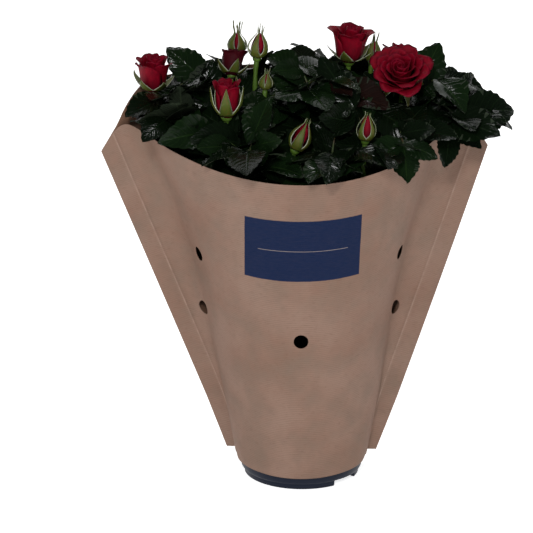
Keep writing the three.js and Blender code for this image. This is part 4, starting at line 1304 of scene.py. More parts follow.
@dataclass
class RoseBush:
    """The bush: skeleton, leaves by the seeded rule and finer leaves between them."""

    sleeve: PaperSleeve
    crown_top: float = 327
    crown_fall: tuple[float, float] = (0.0012, 0.0022)
    lowest: float = 128
    cell_margin: float = 1
    paper_margin: float = 4.2
    limb_margin: float = 1.6
    leaf_length: float = 37
    apart: float = 3.4
    off_limb: float = 3.0
    # size of the leaves and place in its slot, for each round of finer leaves
    finer_rounds: tuple[tuple[float, float], ...] = ((1.04, 0.0), (0.94, 0.25), (0.8, 0.75))

    def __post_init__(self) -> None:
        """Draws the skeleton and the space that no leaf may enter."""
        self.skeleton = {name: self.shoot_curves(mass) for name, mass in MASSES.items()}
        shares = np.arange(13) / 12
        self.cells = {
            name: np.concatenate([bezier(curve[None], shares) for curve in curves])
            for name, curves in self.skeleton.items()
        }
        self.limbs = np.concatenate(list(self.cells.values()))
        balls = []
        for curves in self.skeleton.values():
            balls += [(p, CANE_RADII[0] + self.limb_margin) for p in bezier(curves[0][None], FORK * shares)]
        for flower in FLOWERS.values():
            stem = bezier(flower.stem()[None], (np.arange(8) + 0.5) / 8)
            balls += [(p, FLOWER_STEM_RADIUS + self.limb_margin) for p in stem]
            balls += self.head_space(flower)
        self.ball_centres = np.array([centre for centre, _ in balls])
        self.ball_radii = np.array([radius for _, radius in balls])

    @staticmethod
    def shoot_curves(mass: Mass) -> list[Array]:
        """Curves of one mass: the first from the soil, the others leaving it part of the way up."""
        curves: list[Array] = []
        for index, shoot in enumerate(mass.shoots):
            end = shoot.goal()
            if index == 0:
                foot = np.array([*mass.foot, SOIL_TOP])
                curves.append(np.stack([foot, lerp(foot, end, np.array([0.42, 0.42, 0.62])), end]))
                continue
            leaves = 0.37 + 0.105 * index
            start = facet_point(curves[0], FORK, 1, STEPS, leaves)
            reach = np.linalg.norm(end - start)
            bend = lerp(start, end, 0.35) + 0.3 * reach * bezier_tangent(curves[0], leaves)
            curves.append(np.stack([start, bend, end]))
        return curves

    @staticmethod
    def head_space(flower: Flower) -> list[tuple[Array, float]]:
        """Balls round a flower's head."""
        stack = {
            OPEN: ((0.12, 0.16), (0.42, 0.56)),
            CUP: ((0.1, 0.24), (0.62, 0.62)),
            BUD: ((0.08, 0.26), (0.42, 0.42), (0.85, 0.3), (1.2, 0.2)),
        }[flower.bloom]
        foot, axis, size = np.array(flower.at), flower.axis(), flower.size
        return [(foot + axis * up * size, radius * size) for up, radius in stack]

    def open_space(self, points: Array, reaching: bool) -> Array:
        """Whether points are inside the crown and clear of paper, canes and flowers."""
        x, y, z = points.T
        ok = z >= self.lowest
        if not reaching:
            ok &= z <= self.crown_top - self.crown_fall[0] * x * x - self.crown_fall[1] * y * y
        straight = self.sleeve.straightened(points)
        sx, sy = straight[:, 0], straight[:, 1]
        depth = self.sleeve.paper_depth(sx, z)
        below = z < self.sleeve.paper_top(sx, np.where(sy < 0, -1, 1)) + self.paper_margin
        ok &= ~(below & (np.abs(np.abs(sy) - depth) < self.paper_margin))
        outside = (np.abs(sy) > depth) | (np.abs(sx) > self.sleeve.crease(z) - 6)
        ok &= ~(below & outside & ~(reaching & (sy < 0)))
        ok[ok] = (squared_distances(points[ok], self.ball_centres) >= self.ball_radii**2).all(1)
        return ok

    def own_space(self, points: Array, name: str) -> Array:
        """Whether points are nearer to this mass's limbs than to any other's."""
        own = np.sqrt(np.maximum(nearest_squared(points, self.cells[name]), 0)) + self.cell_margin
        others = np.concatenate([cloud for other, cloud in self.cells.items() if other != name])
        return own < np.sqrt(np.maximum(nearest_squared(points, others), 0))

    def free(self, points: Array, name: str, reaching: bool, taken: Array, off_limb: float) -> Array:
        """Whether each point may hold a leaf of the first growth.

        Args:
            points: places to test, (..., 3).
            name: the mass.
            reaching: lets the leaf go above the crown or over the front edge.
            taken: points on leaves so far.
            off_limb: distance to keep from the mass's limbs.
        Returns:
            Flags of the leading shape.
        """
        flat = points.reshape(-1, 3)
        ok = self.open_space(flat, reaching)
        ok[ok] = nearest_squared(flat[ok], taken) > self.apart**2
        if off_limb:
            ok[ok] = nearest_squared(flat[ok], self.cells[name]) > off_limb**2
        ok[ok] = self.own_space(flat[ok], name)
        return ok.reshape(points.shape[:-1])

    def best(self, tries: Leaves, free: Callable[[Array, float], Array]) -> Leaves | None:
        """The first of the tries that has room for most of its leaflets, or None.

        Args:
            tries: leaves to choose from.
            free: tells whether points are free at a distance from the limbs.
        Returns:
            One leaf with the leaflets that fit.
        """
        probes, stalks, gap = tries.blade_probes(), tries.stalk_probes(), self.off_limb
        ok = np.ones(len(stalks), bool)
        tip, end_leaflet, half_way = probes[:, 0, 12:], probes[:, 0], stalks[:, 6:7]
        for places, off_limb in ((tip, gap), (end_leaflet, gap), (half_way, 0), (stalks, 0)):
            ok[ok] = free(places[ok], off_limb).all(1)
        if not ok.any():
            return None
        chosen, probes = tries[ok], probes[ok]
        chosen.kept = chosen.kept & free(probes, gap).all(2)
        index = int(np.argmax(np.round((chosen.kept * chosen.length).sum(1), 6)))
        return chosen[index : index + 1]

    def reach_tries(self, name: str, goal: Array) -> Leaves:
        """Leaves from any shoot whose end leaflet comes to a set point."""
        rows = []
        for curve in self.skeleton[name][1:]:
            for t in (0.4, 0.55, 0.7, 0.85, 1):
                at = facet_point(curve, 0, 1, STEPS, t)
                for scale in (1.15, 1, 0.85):
                    size = scale * self.leaf_length
                    stalk = np.linalg.norm(goal - at) - 0.92 * size
                    if 10 <= stalk <= 60:
                        rise = 0.34 * stalk + 0.34 * size
                        aims = [unit(goal + UP * lift * rise - at) for lift in (1, 0.5, 1.6)]
                        rows += [(at, aim, stalk, size) for aim in aims]
        at, heading, stalk, size = (np.array(column) for column in zip(*rows))
        return Leaves.grown(at, heading, stalk, size, np.full(len(size), 2), np.zeros(len(size)))

    def spray_tries(self, goal: Array) -> Leaves:
        """Upright leaves from any shoot whose end leaflet comes to a set point.

        A stalk arches over, so the aim is moved several times by what the tip misses the point by.
        """
        shares = (0.5, 0.65, 0.8, 0.95)
        curves = [curve for curves in self.skeleton.values() for curve in curves]
        at = np.repeat([facet_point(curve, 0, 1, STEPS, t) for curve in curves for t in shares], 3, 0)
        size = np.tile(SPRAY_SIZES, len(at) // 3)
        pairs, roll = np.full(len(size), 2), np.zeros(len(size))
        aim = np.broadcast_to(goal, at.shape)
        for _ in range(12):
            stalk = np.clip(np.linalg.norm(aim - at, axis=1) - 0.92 * size, 12, 62)
            leaves = Leaves.grown(at, unit(aim - at), stalk, size, pairs, roll, 0.14)
            miss = goal - (leaves.at + leaves.heading * leaves.length[..., None])[:, 0]
            aim = aim + 0.8 * miss
        faced = leaves.normal + np.array([0, -1.6, 0.7])
        leaves.normal = unit(faced - dot(faced, leaves.heading) * leaves.heading)
        return leaves[np.linalg.norm(miss, axis=1) < SPRAY_MISS]

    def slots(
        self, name: str, random: RandomStream, scale: float, offset: float, down: bool
    ) -> Iterator[Leaves]:
        """Tries for each slot of a mass, by golden-angle steps along each shoot.

        Args:
            name: the mass.
            random: stream of the rule.
            scale: size of the leaves.
            offset: place of a leaf in its slot, as a share.
            down: walks each shoot from its end.
        Returns:
            The tries of one slot after another.
        """
        for index, shoot in enumerate(MASSES[name].shoots):
            curve, first = self.skeleton[name][index], index == 0
            azimuth = 2 * math.pi * random()
            for k in range(shoot.leaves)[:: -1 if down else 1]:
                share = (k + offset) / shoot.leaves
                place = lerp(FORK + 0.08 if first else 0.2, 0.97, share)
                at = facet_point(curve, FORK if first else 0, 1, STEPS, place)
                azimuth += GOLDEN_ANGLE
                yield self.slot_tries(at, azimuth, share, [random(), random(), random()], scale)

    def slot_tries(
        self, at: Array, azimuth: float, share: float, draws: Sequence[float], scale: float
    ) -> Leaves:
        """Leaves that leave one place in every direction, at several lifts and sizes."""
        grown = 0.86 + 0.3 * draws[0]
        rise = lerp(0.1, 0.6, draws[1]) + 0.25 * share
        roll = 0.5 * (draws[2] - 0.5)
        shrinks = np.array([(1, 1), (0.62, 1), (0.34, 0.95), (0.45, 0.75)])
        shrink, turn = np.meshgrid(np.arange(4), np.arange(0, 36, 1 if scale == 1 else 2), indexing="ij")
        shorter, smaller = shrinks[shrink.ravel()].T
        turn = turn.ravel()
        angle = azimuth + 2 * math.pi * turn / 12
        lift = np.array([0, 0.6, 1.3])[turn // 12]
        outwards = np.array([at[0], 1.3 * at[1], 0]) / 90
        heading = unit(np.stack([np.cos(angle), np.sin(angle), rise + lift], 1) + outwards)
        stalk = scale * shorter * grown * lerp(40, 26, share)
        feet = np.broadcast_to(at, (len(turn), 3))
        size = scale * smaller * grown * self.leaf_length
        pairs = np.where(stalk > 24 * scale, 2, 1)
        return Leaves.grown(feet, heading, stalk, size, pairs, np.full(len(turn), roll))

    def leaves_of(self, name: str) -> list[Leaves]:
        """Leaves of one mass by the seeded rule: golden-angle steps down each shoot."""
        mass, random = MASSES[name], RandomStream(MASSES[name].seed)
        accepted: list[Leaves] = []
        taken = np.zeros((0, 3))

        def keep(leaf: Leaves | None) -> None:
            """Accepts a leaf, if there is one, and takes its space."""
            nonlocal taken
            if leaf is not None:
                accepted.append(leaf)
                taken = np.concatenate([taken, used_points(leaf)])

        def test(reaching: bool) -> Callable[[Array, float], Array]:
            """Test of free space for this mass, with the leaves that it has so far."""
            return lambda points, off_limb: self.free(points, name, reaching, taken, off_limb)

        for tip in mass.reaches:
            keep(self.best(self.reach_tries(name, np.array(tip, float)), test(True)))
        for tries in self.slots(name, random, 1, 0.5, True):
            keep(self.best(tries, test(False)))
        return accepted

    def finer_leaves(self, grown: list[Leaves]) -> list[Leaves]:
        """Smaller leaves between the first ones, wherever the crown still has room."""
        random = RandomStream(101)
        room = Room(self)
        for leaf in grown:
            room.take(used_points(leaf))
        extra: list[Leaves] = []

        def keep(leaf: Leaves | None) -> None:
            """Accepts a leaf, if there is one, and takes its room."""
            if leaf is not None:
                extra.append(leaf)
                room.take(used_points(leaf))

        for tip in SPRAYS:
            keep(self.best(self.spray_tries(np.array(tip, float)), room.free_for_spray))
        for scale, offset in self.finer_rounds:
            for name in MASSES:
                for tries in self.slots(name, random, scale, offset, False):
                    keep(self.best(tries, room.free))
        return extra

    def grow(self) -> Leaves:
        """All leaves of the bush."""
        first = [leaf for name in MASSES for leaf in self.leaves_of(name)]
        extra = self.finer_leaves(first)
        LOG.info("%d leaves by the rule and %d finer ones", len(first), len(extra))
        return Leaves.joined(first + extra)

    def build(self, palette: Palette) -> None:
        """Builds foliage, limbs and flowers."""
        leaves = self.grow()
        Foliage(leaves).build(palette)
        Limbs(self.skeleton).build(palette)
        FlowerHeads().build(palette)


@dataclass
class Room:
    """Small cells that record where finer leaves may still lie."""

    bush: RoseBush
    low: Triple = (-160, -115, 125)
    high: Triple = (190, 110, 345)
    cell: float = 2.2
    rise: float = 9  # finer leaves go this much higher than the first ones
    clear: float = 70  # no finer leaf grows this far out in front of a flower
    limb_gap: float = 2.0  # blades keep this far from the middle lines of limbs

    def __post_init__(self) -> None:
        """Closes the cells outside the crown, at the paper, at flowers and, apart, at limbs."""
        self.shape = tuple(np.ceil((np.array(self.high) - self.low) / self.cell).astype(int) + 1)
        index = np.indices(self.shape).reshape(3, -1).T
        self.closed = np.ones(len(index), bool)
        self.at_limb = np.zeros(len(index), bool)
        crown = replace(self.bush, crown_top=self.bush.crown_top + self.rise)
        for part in np.array_split(np.arange(len(index)), 60):
            points = (index[part] + 0.5) * self.cell + self.low
            self.closed[part] = ~crown.open_space(points, False)
            open_part = part[~self.closed[part]]
            points = (index[open_part] + 0.5) * self.cell + self.low
            self.at_limb[open_part] = nearest_squared(points, self.bush.limbs) < self.limb_gap**2
        for flower in FLOWERS.values():
            if flower.at[1] < 20:
                self.clear_front(flower)

    def clear_front(self, flower: Flower) -> None:
        """Closes the cells in front of a flower and a little above, where a leaf would hide it."""
        middle = np.array(flower.at) + flower.axis() * 0.5 * flower.size
        width = np.arange(-0.45, 0.5, 0.1)
        reach, across, up = np.meshgrid(np.arange(6, self.clear, 2), width, width, indexing="ij")
        ahead = np.stack([across * flower.size, -reach, 0.28 * reach + up * flower.size], -1)
        self.closed[self.number(middle + ahead)] = True

    def number(self, points: Array) -> Array:
        """Number of the cell that holds each point."""
        index = np.floor((points - self.low) / self.cell).astype(int)
        index = np.clip(index, 0, np.array(self.shape) - 1)
        return np.ravel_multi_index(tuple(np.moveaxis(index, -1, 0)), self.shape)

    def free(self, points: Array, off_limb: float) -> Array:
        """Whether points lie in open cells."""
        number = self.number(points)
        return ~(self.closed[number] | (self.at_limb[number] & (off_limb > 0)))

    def free_for_spray(self, points: Array, off_limb: float) -> Array:
        """Whether points may hold a spray, which may rise above the crown or lie close to other leaves."""
        flat = points.reshape(-1, 3)
        ok = self.bush.open_space(flat, True)
        if off_limb:
            ok[ok] = nearest_squared(flat[ok], self.bush.limbs) > self.limb_gap**2
        return ok.reshape(points.shape[:-1])

    def take(self, points: Array) -> None:
        """Closes the cells of a new leaf."""
        self.closed[self.number(points)] = True


def used_points(leaf: Leaves) -> Array:
    """Points that a leaf takes up."""
    blades = leaf.blade_probes()[leaf.kept].reshape(-1, 3)
    return np.concatenate([leaf.stalk_probes().reshape(-1, 3), blades])


# ---------------- leaves


def shell(top: Array, thickness: float, uv: Array) -> Sheet:
    """Closes sheets into thin bodies: the under side lies a thickness below the top, and none at the rim.

    Args:
        top: grids of shape (n, rows, columns, 3), counter-clockwise seen from above.
        thickness: in millimetres.
        uv: map of shape (rows, columns, 2).
    Returns:
        Wrapped grids, their maps and the material number of each column.
    """
    n, rows, columns, _ = top.shape
    along, across = np.gradient(top, axis=1), np.gradient(top, axis=2)
    normal = unit(np.cross(across, along))
    inner_rows, inner_columns = np.zeros(rows), np.zeros(columns)
    inner_rows[1:-1], inner_columns[1:-1] = 1, 1
    under = top - normal * thickness * (inner_rows[:, None] * inner_columns)[..., None]
    grid = np.concatenate([top, under[:, :, -2:0:-1]], 2)
    maps = np.concatenate([uv, uv[:, -2:0:-1]], 1)
    slots = np.array([0] * (columns - 1) + [1] * (columns - 1))
    return grid, np.broadcast_to(maps, (n, *maps.shape)), slots


@dataclass
class Foliage:
    """Every leaf as toothed, folded leaflets on arched stalks, dealt out in three tints."""

    leaves: Leaves
    rows: int = 17
    thickness: float = 0.3
    seed: int = 7

    def build(self, palette: Palette) -> None:
        """Builds one piece for each tint and one for the stalks."""
        leaves = self.leaves
        rng = np.random.default_rng(self.seed)
        n = len(leaves.curve)
        height = leaves.curve[:, 2, 2]
        draw = rng.random(n) - 0.25 * smoothstep(height, 290, 325)
        young = nearest_squared(leaves.at[:, 0], np.array(YOUNG_PLACES, float)) < YOUNG_REACH**2
        tint = np.where(young | (draw < -0.2), 2, np.where(draw < 0.36, 1, 0))
        left = leaves.curve[:, 0, 0] < 0
        plan = {
            "leaves_dark_left": ((tint == 0) & left, palette.leaf_dark),
            "leaves_dark_right": ((tint == 0) & ~left, palette.leaf_dark),
            "leaves_mid": (tint == 1, palette.leaf_fresh),
            "leaves_bronze": (tint == 2, palette.leaf_bronze),
        }
        nodes = [f"foliage_{name}" for name in MASSES]
        for name, (members, top) in plan.items():
            chosen = leaves[members]
            parts = (chosen.at, chosen.heading, chosen.normal, chosen.length)
            grid = self.blades(*[part[chosen.kept] for part in parts], rng)
            v, u = np.meshgrid(np.linspace(0, 1, self.rows), np.linspace(0, 1, 5), indexing="ij")
            closed, uv, slots = shell(grid, self.thickness, np.stack([u, v], -1))
            builder = MeshBuilder()
            builder.add(closed, uv, wrap=True, slots=slots)
            piece = builder.build(name, [top, palette.leaf_under], "foliage")
            crease_edges(piece, 75)
            if name == "leaves_dark_left":
                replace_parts(piece, *nodes)
        self.build_stalks(palette)

    def blades(self, at: Array, heading: Array, normal: Array, length: Array, rng: Rng) -> Array:
        """Leaflets of shape (n, rows, 5, 3).

        Each lies along its heading by v and across it by w times its half width. It rises by fold |w| less
        arch w^2, drops by curl v^2, and carries a wave and a twist of its own. The rim's rows step out and
        in as teeth.

        Args:
            at: feet of the leaflets, (n, 3).
            heading: unit directions from foot to tip.
            normal: unit directions of the upper face.
            length: lengths, (n,).
            rng: source of each leaflet's own shape.
        Returns:
            The points.
        """
        n = len(length)
        v = np.linspace(0, 1, self.rows)
        w = np.linspace(-1, 1, 5)
        row = np.arange(self.rows)
        behind = smoothstep(at[:, 1:2], 10, 55)
        normal = normal + 0.3 * at * [1 / 90, 0, 0] + lerp(-0.5, 0.5, behind) * [0, 1, 0]
        normal = unit(normal - dot(normal, heading) * heading)
        side = unit(np.cross(heading, normal))

        def draw(low: float, high: float) -> Array:
            """One number for each leaflet."""
            return rng.uniform(low, high, n)[:, None, None]

        fold, arch, curl = draw(0.1, 0.55), draw(0.0, 0.45), draw(0.02, 0.3)
        wave, twist, phase, width = draw(0.0, 0.05), draw(-0.5, 0.5), draw(0, ANY_TURN), draw(0.56, 0.74)
        size = length[:, None, None]
        half = Leaves.half_width(v)[:, None] * width * size
        rim = np.abs(w) == 1
        tooth = np.where(row % 2 == 1, 1.03, 0.95)[:, None]
        across = half * w * np.where(rim, tooth, 1)
        forward = size * (v[:, None] + np.where(rim & (row % 2 == 1)[:, None], 0.018, 0))
        bend = fold * np.abs(w) - arch * w**2 + twist * v[:, None] * w
        lift = half * bend - curl * size * (v**2)[:, None]
        lift = lift + wave * size * np.abs(w) * np.sin(9 * v[:, None] + phase + 2 * w)
        return (
            at[:, None, None]
            + heading[:, None, None] * forward[..., None]
            + side[:, None, None] * across[..., None]
            + normal[:, None, None] * lift[..., None]
        )

    def build_stalks(self, palette: Palette) -> None:
        """Builds every stalk as a tapered tube along its curve."""
        curves = self.leaves.curve
        shares = np.linspace(0, 1, 9)
        path = bezier(curves[:, None], np.broadcast_to(shares, (len(curves), 9)))
        builder = MeshBuilder()
        builder.add(tube(path, lerp(0.95, 0.5, shares), 5), wrap=True)
        builder.build("leaf_stalks", [palette.stalk], "foliage")


# ---------------- canes and shoots


@dataclass
class Limbs:
    """Woody canes below the fork and green shoots above it, with nodes and prickles."""

    skeleton: dict[str, list[Array]]
    sides: int = 14
    seed: int = 19

    def build(self, palette: Palette) -> None:
        """Builds canes, shoots and prickles."""
        rng = np.random.default_rng(self.seed)
        canes, shoots, prickles = MeshBuilder(), MeshBuilder(), MeshBuilder()
        for curves in self.skeleton.values():
            canes.add(self.limb(curves[0], -0.03, FORK, CANE_RADII, 40, rng, 0.16), wrap=True)
            self.add_prickles(prickles, curves[0], 0.02, FORK, 2.5, 9, rng)
            for index, curve in enumerate(curves):
                thin = 1 if index == 0 else 0.85
                radii = (SHOOT_RADII[0] * thin, SHOOT_RADII[1] * thin)
                start = FORK - 0.01 if index == 0 else 0
                shoots.add(self.limb(curve, start, 1, radii, 48, rng, 0.08), wrap=True)
                self.add_prickles(prickles, curve, 0.4 if index == 0 else 0.15, 0.85, radii[1] - 0.2, 5, rng)
        nodes = [f"cane_{name}" for name in MASSES]
        piece = canes.build("rose_canes", [palette.cane], "canes")
        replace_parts(piece, *nodes)
        shoots.build("green_shoots", [palette.stem], "canes")
        prickles.build("prickles", [palette.thorn], "canes")

    def limb(
        self, curve: Array, start: float, end: float, radii: tuple[float, float], steps: int,
        rng: Rng, lumps: float,
    ) -> Array:  # fmt: skip
        """Tube along part of a curve whose radius swells at its nodes and carries low bark ridges.

        Args:
            curve: control points of the limb.
            start: share of the curve where the tube starts; below 0 it goes on downwards.
            end: share where it ends.
            radii: radius at its start and end.
            steps: rings along it.
            rng: source of its nodes and ridges.
            lumps: how much the radius varies, as a share.
        Returns:
            A grid of shape (1, steps + 2, sides, 3).
        """
        shares = np.linspace(start, end, steps)
        path = bezier(curve[None], np.maximum(shares, 0))[None]
        path[0, :, 2] += np.minimum(shares, 0) * 60
        place = (shares - start) / (end - start)
        radius = lerp(radii[0], radii[1], place)
        swell = 1 + lumps * np.maximum(0, np.sin(place * math.pi * 7 + rng.uniform(0, 3))) ** 12
        grid = tube(path, (radius * swell)[None], self.sides)
        centre = np.concatenate([path[:, :1], path, path[:, -1:]], 1)[:, :, None]
        outward = grid - centre
        return centre + outward * (1 + lumps * waves(grid, 5, int(rng.integers(1 << 30)))[..., None])

    @staticmethod
    def add_prickles(
        builder: MeshBuilder, curve: Array, start: float, end: float, radius: float, count: int, rng: Rng
    ) -> None:
        """Adds hooked cones round a limb: flat ovals at the bark that narrow and bend down to a point.

        Args:
            builder: takes the cones.
            curve: control points of the limb.
            start: share of the curve where they begin.
            end: share where they end.
            radius: of the limb.
            count: how many there are.
            rng: source of their places and sizes.
        """
        shares = np.linspace(start, end, count) + rng.uniform(-0.02, 0.02, count)
        root = bezier(curve[None], shares)
        tangent = bezier_tangent(curve[None], shares)
        side, other = cross_frame(tangent)
        angle = rng.uniform(0, ANY_TURN, count)[:, None]
        out = side * np.cos(angle) + other * np.sin(angle)
        round_limb = np.cross(tangent, out)
        size = rng.uniform(2.4, 4.2, count)[:, None, None, None]
        t = np.array([0, 0, 0.25, 0.55, 0.85, 1])[:, None, None]
        around = (np.arange(6) * 2 * math.pi / 6)[None, :, None]
        thick = (1 - t) ** 1.3
        thick[0] = 0
        along_limb, across_limb = np.cos(around) * thick * 0.55, -np.sin(around) * thick * 0.25
        grid = (
            (root + out * (radius - 0.5))[:, None, None]
            + out[:, None, None] * size * t
            + tangent[:, None, None] * size * (along_limb - 0.5 * t**2)
            + round_limb[:, None, None] * size * across_limb
        )
        builder.add(grid, wrap=True)


# ---------------- flowers


@dataclass(frozen=True)
class PetalForm:
    """Shape of one petal, as shares of the flower's size and angles in degrees from the axis."""

    length: float
    half_width: float
    foot_radius: float
    foot_angle: float  # how far the petal leans out where it starts
    tilt: float  # how far it leans out at its rim
    roll: float  # how much further its rim rolls out
    roll_from: float
    spiral: float  # how much one side tucks in
    frill: float


@dataclass
class FlowerHeads:
    """Blooms of spiralled petals and buds clasped by five sepals, with receptacles and stalks."""

    seed: int = 31

    def build(self, palette: Palette) -> None:
        """Builds petals, sepals and flower stalks, each kind joined."""
        finishes = {
            "petals": palette.petal,
            "petals_in_shade": palette.petal_in_shade,
            "sepals": palette.sepal,
            "flower_stalks": palette.pedicel,
        }
        builders = {name: MeshBuilder() for name in finishes}
        for number, flower in enumerate(FLOWERS.values()):
            rng = np.random.default_rng(self.seed + number)
            # a bloom in shadow takes the darker crimson copy as painted shade
            petals = "petals_in_shade" if flower.dark else "petals"
            for name, sheets in ((petals, self.petals(flower, rng)), ("sepals", self.sepals(flower, rng))):
                for grid, uv, _ in sheets:
                    builders[name].add(self.placed(flower, grid), uv, wrap=True)
            self.add_stalk(builders["flower_stalks"], flower)
        for name, material in finishes.items():
            builders[name].build(name, [material], "foliage")

    @staticmethod
    def placed(flower: Flower, grid: Array) -> Array:
        """Turns a head from upright to its axis by the shortest way and moves it to its place."""
        axis = flower.axis()
        cross = np.cross(UP, axis)
        skew = np.array([[0, -cross[2], cross[1]], [cross[2], 0, -cross[0]], [-cross[1], cross[0], 0]])
        turn = np.eye(3) + skew + skew @ skew / (1 + axis[2])
        return grid @ turn.T + np.array(flower.at)

    def add_stalk(self, builder: MeshBuilder, flower: Flower) -> None:
        """Adds the flower's stalk and its swollen receptacle."""
        shares = np.linspace(0, 1, 12)
        path = bezier(flower.stem()[None], shares)[None]
        radius = FLOWER_STEM_RADIUS * (1 + 0.12 * np.sin(shares * 9))
        builder.add(tube(path, radius[None], 12), wrap=True)
        size = flower.size
        hip = 0.12 if flower.bloom is OPEN else 0.155
        profile = [(0, -0.1), (0.5, -0.09), (0.85, -0.04), (1, 0.03), (0.95, 0.1), (0.7, 0.16), (0, 0.17)]
        grid = turned([(r * hip * size, z * size) for r, z in profile], 20)
        builder.add(self.placed(flower, grid), wrap=True)

    @staticmethod
    def petal(form: PetalForm, azimuth: float, size: float, rng: Rng) -> Sheet:
        """One petal as a closed sheet.

        Its middle line leaves the foot at the foot angle and turns to the tilt, and near the rim to the
        roll; it is the running sum of that direction. Across, the sheet wraps round the axis by its half
        width over its radius.

        Args:
            form: the petal's shape.
            azimuth: where it stands round the axis.
            size: of the flower.
            rng: source of its frill.
        Returns:
            The sheet, upright round the origin.
        """
        rows, columns = 15, 13
        t, s = np.linspace(0, 1, 61), np.linspace(-1, 1, columns)
        roll = form.roll * smoothstep(t, form.roll_from, 1)
        lean = np.radians(form.foot_angle * (1 - smoothstep(t, 0, 0.45)) + form.tilt * t + roll)
        step = form.length * size / 60
        run_r = form.foot_radius * size + np.concatenate([[0], np.cumsum(np.sin(lean[1:]))]) * step
        run_z = np.concatenate([[0], np.cumsum(np.cos(lean[1:]))]) * step
        v = np.linspace(0, 1, rows)[:, None]
        reach = v * (1 - 0.2 * np.abs(s) ** 2.6)
        r, z = np.interp(reach, t, run_r), np.interp(reach, t, run_z)
        half = form.half_width * size * (0.35 + 0.65 * np.sin(0.5 * math.pi * np.minimum(1, v / 0.62)))
        half = half * (1 - 0.3 * smoothstep(v, 0.8, 1))
        wrap = np.minimum(half / np.maximum(r, 0.045 * size), 2.4)
        r = r * (1 + form.spiral * s) + 0.35 * form.frill * size * np.sin(6 * s + rng.uniform(0, 6)) * v**3
        z = z + form.frill * size * np.sin(rng.uniform(7, 10) * s + rng.uniform(0, 6)) * v**3 * 0.6
        angle = azimuth + s * wrap
        grid = np.stack([r * np.cos(angle), r * np.sin(angle), np.broadcast_to(z, angle.shape)], -1)[None]
        uv = np.stack(np.broadcast_arrays((s + 1) / 2, v), -1)
        return shell(grid[:, :, ::-1], 0.35, uv[:, ::-1])

    def petals(self, flower: Flower, rng: Rng) -> list[Sheet]:
        """All petals of a head, from the centre outwards in golden-angle steps."""
        count = {OPEN: 32, CUP: 15, BUD: 6}[flower.bloom]
        azimuth = rng.uniform(0, ANY_TURN)
        made = []
        lift = 0.1 * flower.size * UP if flower.bloom is BUD else 0
        for k in range(count):
            azimuth += GOLDEN_ANGLE + rng.normal(0, 0.12)
            form = self.petal_form(flower, k / (count - 1), rng)
            grid, uv, slots = self.petal(form, azimuth, flower.size, rng)
            made.append((grid + lift, uv, slots))
        return made

    @staticmethod
    def petal_form(flower: Flower, f: float, rng: Rng) -> PetalForm:
        """Shape of the petal at share f from the centre to the outside."""
        vary = rng.normal(0, 1, 3)
        if flower.bloom is OPEN:
            return PetalForm(
                length=lerp(0.46, 0.66, f) * (1 + 0.03 * vary[0]),
                half_width=lerp(0.13, 0.32, f),
                foot_radius=lerp(0.012, 0.06, f),
                foot_angle=lerp(16, 88, f),
                tilt=lerp(-2, 46, f**1.3) + 2 * vary[1],
                roll=lerp(4, 62, f) + 5 * vary[2],
                roll_from=lerp(0.8, 0.62, f),
                spiral=lerp(0.3, 0.05, f),
                frill=lerp(0.006, 0.02, f),
            )
        if flower.bloom is CUP:
            wide = flower.spread
            return PetalForm(
                length=lerp(0.98, 1.1, f) * (1 + 0.02 * vary[0]),
                half_width=lerp(0.2, 0.46, f) * (0.6 + 0.7 * wide),
                foot_radius=lerp(0.02, 0.09, f),
                foot_angle=lerp(8, 62, f) * (0.6 + 0.6 * wide),
                tilt=lerp(-3, 30, f**1.5) * wide + 1.5 * vary[1],
                roll=lerp(0, 75, f**1.6) * (0.35 + wide) + 4 * vary[2],
                roll_from=0.76,
                spiral=lerp(0.3, 0.06, f),
                frill=lerp(0.006, 0.022, f),
            )
        return PetalForm(
            length=0.88,
            half_width=0.3,
            foot_radius=0.06 + 0.04 * f,
            foot_angle=lerp(24, 50, f),
            tilt=lerp(-12, -24, f),
            roll=6 * f,
            roll_from=0.9,
            spiral=0.25,
            frill=0.004,
        )

    def sepals(self, flower: Flower, rng: Rng) -> list[Sheet]:
        """Five sepals, which clasp a bud, lie against a cup or fold back under an open bloom."""
        size = flower.size
        t = np.linspace(0, 1, 22)
        made = []
        for k in range(5):
            azimuth = math.radians(flower.turn + 72 * k) + rng.normal(0, 0.05)
            if flower.bloom is BUD:
                r, z, half = self.bud_sepal(flower, t, rng)
            elif flower.bloom is CUP:
                r, z, half = self.cup_sepal(flower, t, rng)
            else:
                r = size * (0.09 + 0.3 * t - 0.02 * t**2)
                z = size * (0.1 - 0.05 * t - 0.16 * t**2)
                half = size * 0.085 * (1 - t) ** 0.7 + 0.25
            made.append(self.sepal(azimuth, r, z, half, rng))
        return made

